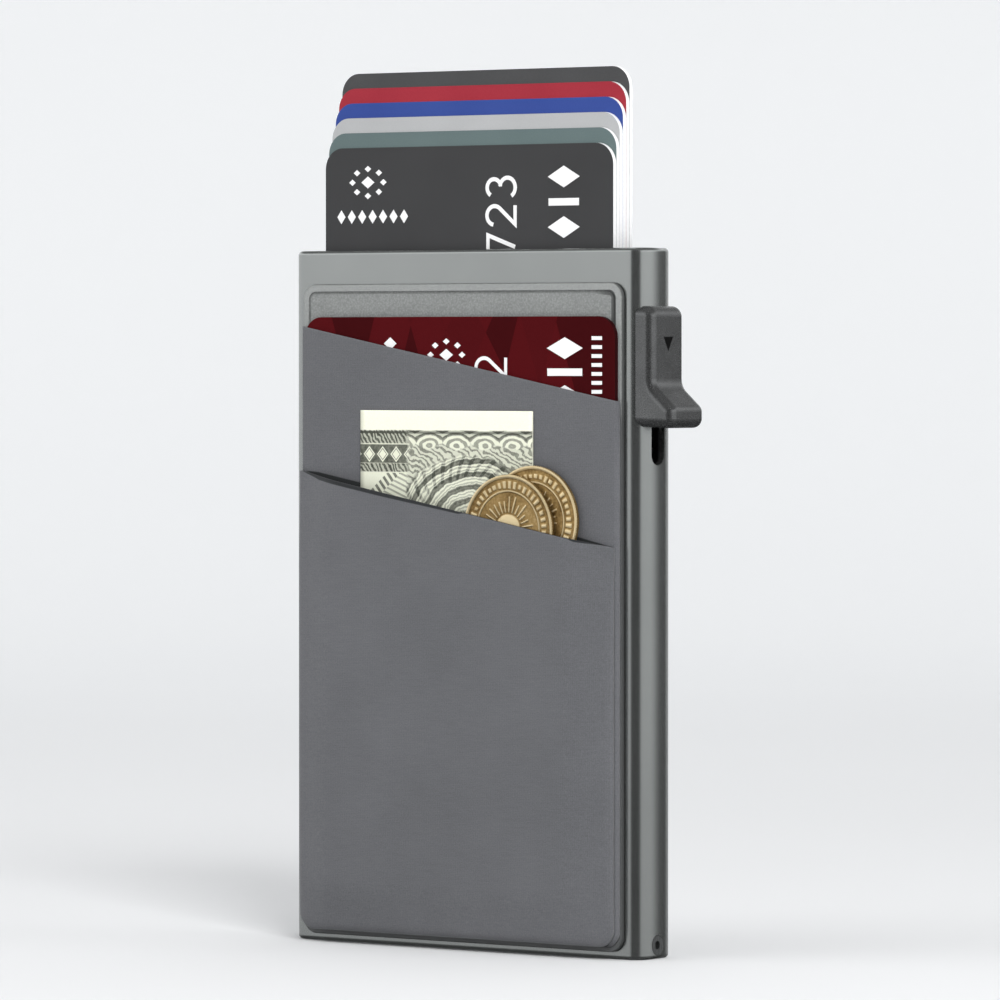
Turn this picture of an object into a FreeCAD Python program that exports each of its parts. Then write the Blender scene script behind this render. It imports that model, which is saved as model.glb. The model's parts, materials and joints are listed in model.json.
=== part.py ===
"""Minimalist pop-up card wallet: aluminium card case with a thumb slider and eject lever, and a
leatherette panel with two stretch-fabric pockets on its front face.

Frame, millimetres: origin at the centre of the case's bottom face, +Z up (the way the cards rise),
-Y is the front (pocket side), +X is the slider side. The cards stand lifted as a fan and the slider
is released, which is the rest pose."""
import FreeCAD, Part
import math
import os
import Sketcher
from FreeCAD import Placement, Rotation, Vector as V

doc = FreeCAD.newDocument("MinimalistWallet")
sheet = doc.addObject("Spreadsheet::Sheet", "Sizes")
row = [0]


class Q:
    """A size: its number and the sheet expression that gives it."""

    def __init__(self, v, e):
        self.v, self.e = float(v), e

    @staticmethod
    def of(o):
        return o if isinstance(o, Q) else Q(o, "(%.6f)" % float(o))

    def __add__(self, o): o = Q.of(o); return Q(self.v + o.v, "(%s + %s)" % (self.e, o.e))
    def __radd__(self, o): return Q.of(o) + self
    def __sub__(self, o): o = Q.of(o); return Q(self.v - o.v, "(%s - %s)" % (self.e, o.e))
    def __rsub__(self, o): return Q.of(o) - self
    def __mul__(self, o): o = Q.of(o); return Q(self.v * o.v, "(%s * %s)" % (self.e, o.e))
    def __rmul__(self, o): return Q.of(o) * self
    def __truediv__(self, o): o = Q.of(o); return Q(self.v / o.v, "(%s / %s)" % (self.e, o.e))
    def __neg__(self): return Q(-self.v, "(0 - %s)" % self.e)


def size(alias, value):
    row[0] += 1
    sheet.set("A%d" % row[0], alias)
    sheet.set("B%d" % row[0], str(value))
    sheet.setAlias("B%d" % row[0], alias)
    return Q(value, "Sizes.%s" % alias)


# ---------------------------------------------------------------- sizes
case_w = size("case_width", 65.4)
case_d = size("case_depth", 8.8)
case_z = size("case_height", 105.0)
case_r = size("case_corner", 2.5)
wall = size("wall_thickness", 1.0)
fit = size("inner_gap", 0.1)
slot_w = size("slot_width", 3.2)
slot_lo = size("slot_bottom", 72.9)
slot_hi = size("slot_top", 95.2)

card_w = size("card_width", 53.98)
card_l = size("card_length", 85.6)
card_t = size("card_thickness", 0.76)
card_r = size("card_corner", 3.18)
card_x = size("card_centre_x", -0.24)
card_y = size("card_front_y", -3.0)
card_p = size("card_pitch", 0.82)
card_top = size("card_front_top", 120.55)
card_step = size("card_fan_step", 2.29)
stow_z = size("card_stowed_bottom", 16.0)

plug_t = size("plug_thickness", 4.0)
bezel_t = size("bezel_thickness", 3.2)
rail_lo = size("rail_bottom", 20.0)
rail_hi = size("rail_top", 101.1)

piv_x = size("pivot_x", 22.6)
piv_z = size("pivot_z", 11.5)
pin_d = size("pivot_pin_diameter", 2.0)
arm_a = size("short_arm_length", 7.1)
arm_up = size("arm_rise", 3.9)
lever_gap = size("lever_card_gap", 0.1)
link_d = size("link_pin_diameter", 1.6)
link_x = size("link_pin_x", 29.035)
link_z = size("link_pin_z", 14.5)
rod_d = size("rod_diameter", 1.6)
rod_x = size("rod_x", 29.9)
seat_z = size("spring_seat_top", 52.0)
wire_d = size("spring_wire", 0.35)
coil_d = size("spring_coil_diameter", 3.0)
coil_p = size("spring_pitch", 1.65)

car_lo = size("carriage_bottom", 78.5)
car_hi = size("carriage_top", 95.5)
btn_lo = size("button_bottom", 78.4)
btn_hi = size("button_top", 96.4)
btn_w = size("button_width", 8.7)
btn_wrap = size("button_wrap", 0.95)
btn_out = size("button_proud", 1.9)
ledge_out = size("ledge_proud", 5.55)
scr_z = size("case_screw_height", 2.06)
bscr_z = size("slider_screw_height", 87.0)

pan_w = size("panel_width", 59.8)
pan_lo = size("panel_bottom", 1.1)
pan_hi = size("panel_top", 99.9)
pan_t = size("panel_thickness", 0.65)
pan_r = size("panel_corner", 2.3)
adh_t = size("adhesive_thickness", 0.15)
pcard_w = size("pocket_card_width", 58.2)
pcard_x = size("pocket_card_centre_x", 0.15)
pcard_top = size("pocket_card_top", 94.9)
lycra = size("fabric_thickness", 0.35)
up_l = size("upper_edge_left", 93.6)
up_r = size("upper_edge_right", 82.35)
lo_l = size("lower_edge_left", 71.7)
lo_r = size("lower_edge_right", 60.85)
note_w = size("note_width", 32.3)
note_x = size("note_centre_x", -1.48)
note_top = size("note_top", 80.85)
note_l = size("note_length", 62.0)
note_t = size("note_thickness", 0.25)
coin_d = size("coin_diameter", 16.4)
coin_t = size("coin_thickness", 0.72)
coinf_x = size("coin_front_x", 11.25)
coinf_z = size("coin_front_z", 63.25)
coinb_x = size("coin_back_x", 15.2)
coinb_z = size("coin_back_z", 64.6)
pock_y = size("pocket_front_y", -8.8)
doc.recompute()


# ---------------------------------------------------------------- helpers
def bind(obj, prop, q):
    if isinstance(q, Q):
        obj.setExpression(prop, q.e)


def at(obj, x=0, y=0, z=0, rot=None):
    x, y, z = Q.of(x), Q.of(y), Q.of(z)
    obj.Placement = Placement(V(x.v, y.v, z.v), rot or Rotation())
    obj.setExpression("Placement.Base.x", x.e)
    obj.setExpression("Placement.Base.y", y.e)
    obj.setExpression("Placement.Base.z", z.e)
    return obj


def box(name, x0, x1, y0, y1, z0, z1):
    b = doc.addObject("Part::Box", name)
    x0, x1, y0, y1, z0, z1 = map(Q.of, (x0, x1, y0, y1, z0, z1))
    for prop, q in (("Length", x1 - x0), ("Width", y1 - y0), ("Height", z1 - z0)):
        setattr(b, prop, q.v)
        b.setExpression(prop, q.e)
    return at(b, x0, y0, z0)


def cyl(name, r, length, x, y, z, axis="Z"):
    c = doc.addObject("Part::Cylinder", name)
    r, length = Q.of(r), Q.of(length)
    c.Radius, c.Height = r.v, length.v
    c.setExpression("Radius", r.e)
    c.setExpression("Height", length.e)
    rot = {"Z": Rotation(), "Y": Rotation(V(1, 0, 0), -90), "X": Rotation(V(0, 1, 0), 90)}[axis]
    return at(c, x, y, z, rot)


def cone(name, r1, r2, length, x, y, z, axis="X"):
    c = doc.addObject("Part::Cone", name)
    r1, r2, length = Q.of(r1), Q.of(r2), Q.of(length)
    c.Radius1, c.Radius2, c.Height = r1.v, r2.v, length.v
    c.setExpression("Height", length.e)
    rot = {"X": Rotation(V(0, 1, 0), 90), "-X": Rotation(V(0, 1, 0), -90)}[axis]
    return at(c, x, y, z, rot)


def fuse(name, *parts):
    f = doc.addObject("Part::MultiFuse", name)
    f.Shapes = list(parts)
    return f


def cut(name, base, tool):
    c = doc.addObject("Part::Cut", name)
    c.Base, c.Tool = base, tool
    return c


def common(name, *parts):
    c = doc.addObject("Part::MultiCommon", name)
    c.Shapes = list(parts)
    return c


def rrect(sk, w, l, r):
    """A rounded rectangle centred on the sketch's origin, w along x and l along y."""
    w, l, r = Q.of(w), Q.of(l), Q.of(r)
    x1, y1, rr = w.v / 2, l.v / 2, r.v
    g = sk.GeometryCount
    half = math.pi / 2
    arcs = [(x1 - rr, rr - y1, -half, 0), (x1 - rr, y1 - rr, 0, half), (rr - x1, y1 - rr, half, 2 * half),
            (rr - x1, rr - y1, 2 * half, 3 * half)]
    geo = [Part.LineSegment(V(rr - x1, -y1, 0), V(x1 - rr, -y1, 0)), Part.LineSegment(V(x1, rr - y1, 0), V(x1, y1 - rr, 0)),
           Part.LineSegment(V(x1 - rr, y1, 0), V(rr - x1, y1, 0)), Part.LineSegment(V(-x1, y1 - rr, 0), V(-x1, rr - y1, 0))]
    geo += [Part.ArcOfCircle(Part.Circle(V(cx, cy, 0), V(0, 0, 1), rr), a, b) for cx, cy, a, b in arcs]
    sk.addGeometry(geo, False)
    con = []
    for i in range(4):
        con.append(Sketcher.Constraint("Tangent", g + i, 2, g + 4 + i, 1))
        con.append(Sketcher.Constraint("Tangent", g + 4 + i, 2, g + (i + 1) % 4, 1))
    con += [Sketcher.Constraint("Horizontal", g), Sketcher.Constraint("Horizontal", g + 2),
            Sketcher.Constraint("Vertical", g + 1), Sketcher.Constraint("Vertical", g + 3)]
    con += [Sketcher.Constraint("Equal", g + 4, g + 4 + i) for i in (1, 2, 3)]
    con.append(Sketcher.Constraint("Symmetric", g + 3, 1, g + 1, 1, -1, 1))
    n = sk.ConstraintCount
    sk.addConstraint(con)
    k = n + len(con)
    sk.addConstraint(Sketcher.Constraint("Radius", g + 4, rr))
    sk.addConstraint(Sketcher.Constraint("DistanceX", g + 3, 1, g + 1, 1, w.v))
    sk.addConstraint(Sketcher.Constraint("DistanceY", g, 1, g + 2, 1, l.v))
    for j, q in enumerate((r, w, l)):
        sk.setExpression("Constraints[%d]" % (k + j), q.e)


def poly(sk, pts):
    """A closed polygon whose corners are set from the sheet."""
    pts = [(Q.of(a), Q.of(b)) for a, b in pts]
    n, g = len(pts), sk.GeometryCount
    sk.addGeometry([Part.LineSegment(V(pts[i][0].v, pts[i][1].v, 0), V(pts[(i + 1) % n][0].v, pts[(i + 1) % n][1].v, 0))
                    for i in range(n)], False)
    sk.addConstraint([Sketcher.Constraint("Coincident", g + i, 2, g + (i + 1) % n, 1) for i in range(n)])
    k = sk.ConstraintCount
    for i, (a, b) in enumerate(pts):
        sk.addConstraint(Sketcher.Constraint("DistanceX", -1, 1, g + i, 1, a.v))
        sk.addConstraint(Sketcher.Constraint("DistanceY", -1, 1, g + i, 1, b.v))
    for i, (a, b) in enumerate(pts):
        sk.setExpression("Constraints[%d]" % (k + 2 * i), a.e)
        sk.setExpression("Constraints[%d]" % (k + 2 * i + 1), b.e)


def body(name):
    return doc.addObject("PartDesign::Body", name)


def plane_of(b, role):
    return [f for f in b.Origin.OriginFeatures if f.Role == role][0]


def sketch_in(b, name, role="XY_Plane", off=None):
    sk = b.newObject("Sketcher::SketchObject", name)
    sk.AttachmentSupport = [(plane_of(b, role), "")]
    sk.MapMode = "FlatFace"
    if off is not None:
        sk.AttachmentOffset = Placement(V(0, 0, Q.of(off).v), Rotation())
        sk.setExpression("AttachmentOffset.Base.z", Q.of(off).e)
    return sk


def pad(b, name, sk, length, mid=False):
    p = b.newObject("PartDesign::Pad", name)
    p.Profile = sk
    p.Length = Q.of(length).v
    p.setExpression("Length", Q.of(length).e)
    if mid:
        p.Midplane = True
    sk.Visibility = False
    return p


def pocket(b, name, sk, length, rev=False):
    p = b.newObject("PartDesign::Pocket", name)
    p.Profile = sk
    p.Length = Q.of(length).v
    p.setExpression("Length", Q.of(length).e)
    p.Reversed = rev
    return p


def edges(shape, test):
    return ["Edge%d" % (i + 1) for i, e in enumerate(shape.Edges) if test(e)]


def round_edges(b, name, feat, test, r):
    doc.recompute()
    f = b.newObject("PartDesign::Fillet", name)
    names = edges(feat.Shape, test)
    if not names:
        raise RuntimeError("no edges for " + name)
    f.Base = (feat, names)
    f.Radius = Q.of(r).v
    f.setExpression("Radius", Q.of(r).e)
    doc.recompute()
    return f


def xz_sketch(name, pts, y):
    """A sketch standing in the XZ plane at the given y (its normal is -Y)."""
    sk = doc.addObject("Sketcher::SketchObject", name)
    at(sk, 0, y, 0, Rotation(V(1, 0, 0), 90))
    poly(sk, pts)
    return sk


def extrude(name, sk, length, direction=(0, 1, 0)):
    e = doc.addObject("Part::Extrusion", name)
    e.Base = sk
    e.DirMode = "Custom"
    e.Dir = V(*direction)
    e.LengthFwd = Q.of(length).v
    e.setExpression("LengthFwd", Q.of(length).e)
    e.Solid = True
    return e


nodes = {}


def node(obj, label):
    obj.Label = label
    nodes[label] = obj
    return obj


STAND = Rotation(V(1, 0, 0), 90)          # local y -> +Z, local z -> -Y
half_w, half_d = case_w / 2, case_d / 2
in_x, in_y = half_w - wall, half_d - wall  # inner faces of the tube

# ---------------------------------------------------------------- case shell
b = body("CaseTube")
sk = sketch_in(b, "TubeOutline")
rrect(sk, case_w, case_d, case_r)
tube = pad(b, "TubePad", sk, case_z)
round_edges(b, "TubeRims", tube, lambda e: abs(e.BoundBox.ZMin - e.BoundBox.ZMax) < 1e-6, 0.6)
sk = sketch_in(b, "TubeBore", off=case_z)
rrect(sk, case_w - wall * 2, case_d - wall * 2, case_r - wall)
pocket(b, "TubeBoreCut", sk, case_z + 1)
sk = sketch_in(b, "SlotOutline", "YZ_Plane")
g = sk.GeometryCount
rs, zc0, zc1 = slot_w / 2, slot_lo + slot_w / 2, slot_hi - slot_w / 2
sk.addGeometry([Part.LineSegment(V(rs.v, zc0.v, 0), V(rs.v, zc1.v, 0)), Part.LineSegment(V(-rs.v, zc1.v, 0), V(-rs.v, zc0.v, 0)),
                Part.ArcOfCircle(Part.Circle(V(0, zc1.v, 0), V(0, 0, 1), rs.v), 0, math.pi),
                Part.ArcOfCircle(Part.Circle(V(0, zc0.v, 0), V(0, 0, 1), rs.v), math.pi, 2 * math.pi)], False)
sk.addConstraint([Sketcher.Constraint("Tangent", g, 2, g + 2, 1), Sketcher.Constraint("Tangent", g + 2, 2, g + 1, 1),
                  Sketcher.Constraint("Tangent", g + 1, 2, g + 3, 1), Sketcher.Constraint("Tangent", g + 3, 2, g, 1),
                  Sketcher.Constraint("Vertical", g), Sketcher.Constraint("PointOnObject", g + 2, 3, -2)])
k = sk.ConstraintCount
for con, q in ((Sketcher.Constraint("Radius", g + 2, rs.v), rs), (Sketcher.Constraint("DistanceY", -1, 1, g + 3, 3, zc0.v), zc0),
               (Sketcher.Constraint("DistanceY", -1, 1, g + 2, 3, zc1.v), zc1)):
    sk.addConstraint(con)
    sk.setExpression("Constraints[%d]" % k, q.e)
    k += 1
doc.recompute()
before = b.Shape.Volume
pocket(b, "SlotCut", sk, case_w, rev=True)
doc.recompute()
if before - b.Shape.Volume < 50:
    raise RuntimeError("the slider slot cut nothing")
sinks = fuse("ScrewSinks",
             cone("SinkRight", 0.75, 1.5, wall + 0.02, in_x - 0.01, 0, scr_z, "X"),
             cone("SinkLeft", 0.75, 1.5, wall + 0.02, -(in_x - 0.01), 0, scr_z, "-X"))
node(cut("CaseShell", b, sinks), "case_shell")

# ---------------------------------------------------------------- bottom plug
b = body("PlugBase")
sk = sketch_in(b, "PlugOutline")
rrect(sk, case_w - wall * 2 - fit * 2, case_d - wall * 2 - fit * 2, case_r - wall - fit / 2)
p = pad(b, "PlugPad", sk, plug_t)
yf0, yf1, yr0, yr1 = -3.1, -2.0, 2.05, 3.1
plug_solid = fuse(
    "PlugSolid", b,
    box("CheekFront", piv_x - 2.6, 27.4, yf0, yf1, plug_t - 1, piv_z),
    cyl("CheekFrontTop", 2.6, 1.1, piv_x, yf0, piv_z, "Y"),
    box("CheekRear", piv_x - 2.6, 27.4, yr0, yr1, plug_t - 1, piv_z),
    cyl("CheekRearTop", 2.6, 1.05, piv_x, yr0, piv_z, "Y"),
    box("RestFront", 25.4, 27.4, yf0, -1.15, plug_t - 1, stow_z),
    box("RestRear", 25.4, 27.4, 1.15, yr1, plug_t - 1, stow_z),
    box("RestLeft", -29.2, -21.6, yf0, yr1, plug_t - 1, stow_z))
plug_holes = fuse(
    "PlugHoles",
    cyl("PivotBores", pin_d / 2 + 0.01, 6.6, piv_x, -3.3, piv_z, "Y"),
    cyl("PilotRight", 0.7, 5.0, in_x - 5.0, 0, scr_z, "X"),
    cyl("PilotLeft", 0.7, 5.0, -in_x, 0, scr_z, "X"),
    box("FloorPocketA", -19.5, -1.0, -2.3, 2.3, 1.2, plug_t + 1),
    box("FloorPocketB", 1.0, 18.0, -2.3, 2.3, 1.2, plug_t + 1),
    box("PostCore", -28.0, -22.8, -1.9, 1.9, plug_t + 0.6, stow_z - 1.2))
node(cut("BottomPlug", plug_solid, plug_holes), "bottom_plug")

# ---------------------------------------------------------------- case screws (one node, two solids)
screws = []
for side, sgn, ax in (("Right", 1, "X"), ("Left", -1, "-X")):
    head = cone("ScrewHead" + side, 0.7, 1.42, wall - 0.05, (in_x + 0.01) * sgn, 0, scr_z, ax)
    shank = cyl("ScrewShank" + side, 0.68, 4.2, in_x - 4.18 if sgn > 0 else -(in_x + 0.02), 0, scr_z, "X")
    drive = cyl("ScrewDrive" + side, 0.62, 0.6, half_w - 0.5 if sgn > 0 else -(half_w + 0.1), 0, scr_z, "X")
    screws.append(cut("Screw" + side, fuse("ScrewBlank" + side, head, shank), drive))
grp = doc.addObject("Part::Compound", "PlugScrews")
grp.Links = screws
node(grp, "plug_screws")

# ---------------------------------------------------------------- top bezel
b = body("BezelBlank")
sk = sketch_in(b, "BezelOutline")
rrect(sk, case_w - wall * 2 - fit * 2, case_d - wall * 2 - fit * 2, case_r - wall - fit / 2)
pad(b, "BezelPad", sk, bezel_t)
at(b, 0, 0, rail_hi + 0.1)
mouth = box("BezelMouth", card_x - card_w / 2 - 0.35, card_x + card_w / 2 + 0.35, -5, card_y + card_p * 5 + card_t + 0.12,
            rail_hi - 1, rail_hi + bezel_t + 1)
node(cut("TopBezel", b, mouth), "top_bezel")

# ---------------------------------------------------------------- guide rails
b = body("LeftRail")
sk = sketch_in(b, "LeftRailSection")
poly(sk, [(-31.5, -2.5), (-30.8, -3.2), (-27.45, -3.2), (-27.45, 3.2), (-30.8, 3.2), (-31.5, 2.5), (-31.5, 2.0), (-28.4, 2.0),
          (-28.4, -2.0), (-31.5, -2.0)])
pad(b, "LeftRailPad", sk, rail_hi - stow_z - 0.2)
at(b, 0, 0, stow_z + 0.2)
node(b, "left_guide_rail")

b = body("RightRailChannel")
sk = sketch_in(b, "RightRailSection")
poly(sk, [(26.95, -3.3), (30.5, -3.3), (30.5, -2.8), (27.55, -2.8), (27.55, 2.8), (30.5, 2.8), (30.5, 3.3), (26.95, 3.3)])
pad(b, "RightRailPad", sk, rail_hi - rail_lo)
at(b, 0, 0, rail_lo)
seat = cut("SpringSeat", fuse("SeatBlank", box("SeatBody", 27.4, 30.4, -2.9, 2.9, seat_z - 2, seat_z),
                              box("SeatNose", 30.2, 31.5, -2.2, 2.2, seat_z - 2, seat_z)),
           cyl("SeatBore", rod_d / 2 + 0.1, 4, rod_x, 0, seat_z - 3))
node(fuse("RightGuideRail", b, seat), "right_guide_rail")

# ---------------------------------------------------------------- liner and brake
node(box("FrontLiner", -27.0, 26.6, -3.38, -3.18, 4.5, rail_hi), "front_liner")
pad_y = card_y + card_p * 5 + card_t + 0.03
b = body("BrakePad")
sk = sketch_in(b, "BrakePadOutline")
rrect(sk, 30.0, 30.0, 2.0)
pad(b, "BrakePadPad", sk, 0.5)
at(b, 0, pad_y + 0.5, 77.0, STAND)
node(b, "brake_pad")

leaf_y0, leaf_y1 = (pad_y + 0.53).v, (in_y - 0.02).v
leaf_t, leaf_half = 0.2, 17.0
mid, out = leaf_y0 + leaf_t, leaf_y1
outer = Part.Arc(V(0, out, -leaf_half), V(0, mid, 0), V(0, out, leaf_half)).toShape()
inner = Part.Arc(V(0, out - leaf_t, -leaf_half), V(0, leaf_y0, 0), V(0, out - leaf_t, leaf_half)).toShape()
l0 = Part.LineSegment(V(0, out - leaf_t, -leaf_half), V(0, out, -leaf_half)).toShape()
l1 = Part.LineSegment(V(0, out, leaf_half), V(0, out - leaf_t, leaf_half)).toShape()
leaf = Part.Face(Part.Wire(Part.__sortEdges__([outer, l1, inner, l0]))).extrude(V(14, 0, 0))
f = doc.addObject("Part::Feature", "BrakeLeaf")
f.Shape = leaf
f.Placement = Placement(V(-7, 0, 77), Rotation())
node(f, "brake_leaf_spring")

# ---------------------------------------------------------------- slider button
x0 = half_w + 0.06
xb, xt, xw = half_w + btn_out, half_w + ledge_out, half_w - btn_wrap
b = body("ButtonBlock")
sk = sketch_in(b, "ButtonProfile", "XZ_Plane")
poly(sk, [(xw, btn_lo + 1.3), (xw + 0.9, btn_lo + 0.2), (xt, btn_lo), (xt, btn_lo + 3.0), (xb, btn_lo + 6.2), (xb, btn_hi),
          (xw + 0.95, btn_hi), (xw, btn_hi - 0.9)])
blk = pad(b, "ButtonPad", sk, btn_w, mid=True)
doc.recompute()
xbv, xtv, xwv, lov, hiv = xb.v, xt.v, xw.v, btn_lo.v, btn_hi.v


def near(e, x, z):
    bb = e.BoundBox
    return bb.YLength > 8 and bb.XLength < 1e-6 and abs(bb.XMin - x) < 1e-3 and abs(bb.ZMin - z) < 1e-3


fl = round_edges(b, "FlareRound", blk, lambda e: near(e, xbv, lov + 6.2), 2.4)
fl = round_edges(b, "TipRound", fl, lambda e: near(e, xtv, lov + 3.0) or near(e, xtv, lov), 1.35)
fl = round_edges(b, "TopRound", fl, lambda e: near(e, xbv, hiv), 1.6)


def block_rim(e):
    bb = e.BoundBox
    return bb.YLength < 1e-4 and abs(abs(bb.YMin) - btn_w.v / 2) < 1e-3 and bb.XMax > xwv + 1.0


fl = round_edges(b, "BlockRims", fl, block_rim, 1.4)
bi = body("CaseSurface")
sk = sketch_in(bi, "CaseSurfaceOutline")
rrect(sk, case_w + 0.12, case_d + 0.12, case_r + 0.06)
pad(bi, "CaseSurfacePad", sk, 32)
at(bi, 0, 0, 69)
block = cut("ButtonOnCase", b, bi)
neck = box("NeckBody", in_x - 0.15, x0 + 0.2, -1.5, 1.5, 80.4, 93.8)
mb = body("DownMark")
sk = sketch_in(mb, "DownMarkOutline", "YZ_Plane")
poly(sk, [(-1.2, 1.1), (0, -1.1), (1.2, 1.1)])
pad(mb, "DownMarkPad", sk, 1.0)
mk = at(mb, xb - 0.3, 0, 90.8)
tapped = cyl("ButtonScrewHole", 0.61, 2.0, in_x - 0.3, 0, bscr_z, "X")
node(cut("SliderButton", fuse("ButtonSolid", block, neck), fuse("ButtonCuts", mk, tapped)), "slider_button")

# ---------------------------------------------------------------- slider carriage, screw, rod, yoke
car = box("CarriageBlock", 28.0, in_x - 0.2, -2.6, 2.6, car_lo, car_hi)
car_cuts = fuse("CarriageCuts",
                cyl("CarriageBore", 0.65, 6, 27.5, 0, bscr_z, "X"),
                cyl("CarriageCounterbore", 1.3, 1.5, 27.5, 0, bscr_z, "X"),
                cyl("RodSocket", rod_d / 2 + 0.01, 6.0, rod_x, 0, car_lo - 1),
                box("CarriageRelief", 28.6, in_x + 1, -1.8, 1.8, 90.0, car_hi - 1.2))
node(cut("SliderCarriage", car, car_cuts), "slider_carriage")
node(cut("SliderScrew", fuse("SliderScrewBlank", cyl("SliderScrewHead", 1.2, 0.8, 28.15, 0, bscr_z, "X"),
                             cyl("SliderScrewShank", 0.6, 4.4, 28.5, 0, bscr_z, "X")),
         box("SliderScrewSlot", 28.0, 28.5, -0.2, 0.2, bscr_z - 1.5, bscr_z + 1.5)), "slider_screw")
node(cyl("PushRod", rod_d / 2, car_lo + 4.9 - 17.5, rod_x, 0, 17.5), "push_rod")
yoke = fuse("YokeSolid", box("YokeBridge", 27.75, 31.3, -1.9, 1.9, 17.2, 22.0),
            box("YokeFront", 27.75, 31.3, -1.9, -1.0, 12.2, 17.5),
            box("YokeRear", 27.75, 31.3, 1.0, 1.9, 12.2, 17.5))
yoke_cuts = fuse("YokeCuts", box("YokeSlot", 28.15, 30.7, -2.5, 2.5, link_z - 0.9, link_z + 0.9),
                 cyl("YokeBore", rod_d / 2 + 0.01, 8, rod_x, 0, 17.5))
node(cut("RodYoke", yoke, yoke_cuts), "rod_yoke")
node(cyl("LinkPin", link_d / 2, 3.7, link_x, -1.85, link_z, "Y"), "link_pin")

# ---------------------------------------------------------------- eject lever
ang = math.radians(50)
tip_r = 1.0
layers = []
for i in range(6):
    top_i = card_top + card_step * i - card_l - lever_gap      # where the tip ends when the lever is up
    reach = (top_i - piv_z - tip_r - (arm_up - tip_r) * math.cos(ang)) / math.sin(ang) + tip_r
    y_i = card_y + card_p * i - 0.03
    xl = piv_x - reach
    zt = piv_z + arm_up
    sk = xz_sketch("LeverStep%d" % (i + 1), [
        (piv_x, piv_z - 1.8), (piv_x - 6, piv_z - 1.6), (xl, zt - 2.4), (xl, zt - 1.0), (xl + 0.29, zt - 0.29), (xl + 1.0, zt),
        (piv_x - 2.0, zt), (piv_x, piv_z + 2.5)], y_i)
    layers.append(extrude("LeverPlate%d" % (i + 1), sk, card_p))
short = xz_sketch("ShortArmOutline", [
    (piv_x + 1.0, piv_z - 1.2), (link_x + 0.5, link_z - 1.3), (link_x + 1.2, link_z - 0.5), (link_x + 1.0, link_z + 0.8),
    (link_x - 0.2, link_z + 1.3), (piv_x - 0.5, piv_z + 2.2)], -0.9)
arm = extrude("ShortArm", short, 1.8)
clear = fuse("LeverClear", cyl("CheekClearDisc", 3.0, 1.4, piv_x, -3.3, piv_z, "Y"),
             box("CheekClearRight", piv_x - 0.5, piv_x + 4, -3.3, -1.9, piv_z - 4, piv_z + 5),
             box("CheekClearFoot", piv_x - 3.0, piv_x + 4, -3.3, -1.9, piv_z - 4, piv_z))
plates = cut("LeverPlates", fuse("LeverStack", *layers), clear)
lever_solid = fuse("LeverSolid", plates, cyl("LeverBoss", 2.55, 3.78, piv_x, -1.9, piv_z, "Y"), arm)
lever_cuts = fuse("LeverCuts", cyl("LeverBore", pin_d / 2 + 0.05, 6, piv_x, -3, piv_z, "Y"),
                  cyl("LinkBore", link_d / 2 + 0.01, 4, link_x, -2, link_z, "Y"))
node(cut("EjectLever", lever_solid, lever_cuts), "eject_lever")
node(cyl("PivotPin", pin_d / 2, 6.2, piv_x, -3.1, piv_z, "Y"), "lever_pivot_pin")

# ---------------------------------------------------------------- return spring
zs0, zs1 = seat_z.v + wire_d.v / 2 + 0.02, car_lo.v - wire_d.v / 2 - 0.02
turns = round((zs1 - zs0) / coil_p.v)
helix = Part.makeHelix((zs1 - zs0) / turns, zs1 - zs0, coil_d.v / 2)
start = V(coil_d.v / 2, 0, 0)
ring = Part.Wire([Part.makeCircle(wire_d.v / 2, start, V(0, 1, 0))])
spring = Part.Wire(helix.Edges).makePipeShell([ring], True, True)
f = doc.addObject("Part::Feature", "ReturnSpring")
f.Shape = Part.Solid(spring) if spring.ShapeType != "Solid" else spring
f.Placement = Placement(V(rod_x.v, 0, zs0), Rotation())
node(f, "return_spring")

# ---------------------------------------------------------------- pocket: adhesive, base panel, fabric panels
pan_l, pan_c = pan_hi - pan_lo, (pan_hi + pan_lo) / 2
b = body("PocketAdhesive")
sk = sketch_in(b, "AdhesiveOutline")
rrect(sk, pan_w - 1.6, pan_l - 1.6, pan_r - 0.8)
pad(b, "AdhesivePad", sk, adh_t)
at(b, 0, -half_d, pan_c, STAND)
node(b, "pocket_adhesive")

b = body("BasePanel")
sk = sketch_in(b, "PanelOutline")
rrect(sk, pan_w, pan_l, pan_r)
pn = pad(b, "PanelPad", sk, pan_t)
doc.recompute()
fl = round_edges(b, "PanelEdge", pn, lambda e: e.BoundBox.ZLength < 1e-6 and abs(e.BoundBox.ZMin - pan_t.v) < 1e-6, 0.3)
sk = sketch_in(b, "PanelGroove", off=pan_t)
rrect(sk, pan_w - 2.2, pan_l - 2.2, pan_r - 0.9)
rrect(sk, pan_w - 3.0, pan_l - 3.0, pan_r - 1.3)
vol = b.Shape.Volume
pocket(b, "PanelGrooveCut", sk, 0.22)
doc.recompute()
if vol - b.Shape.Volume < 10:
    raise RuntimeError("the panel's groove cut nothing")
at(b, 0, -half_d - adh_t, pan_c, STAND)
node(b, "pocket_base_panel")

base_y = -half_d - adh_t - pan_t                 # front face of the base panel
up_y0 = base_y - card_t - 0.12                   # back face of the upper fabric
up_y1 = up_y0 - lycra                            # its front face
upx0, upx1 = pcard_x - pcard_w / 2 - 0.45, pcard_x + pcard_w / 2 + 0.45
outer = box("UpperOuter", upx0, upx1, up_y1, base_y, pan_lo + 0.6, 97)
inner = box("UpperInner", upx0 + 0.3, upx1 - 0.3, up_y0, base_y + 1, pan_lo + 0.9, 99)
sk = xz_sketch("UpperSlant", [(-31, up_l + 0.28), (31, up_r - 0.2), (31, 110), (-31, 110)], -12)
upper_cut = fuse("UpperCuts", inner, extrude("UpperSlantTool", sk, 10))
node(cut("UpperPocket", outer, upper_cut), "upper_pocket_panel")


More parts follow.
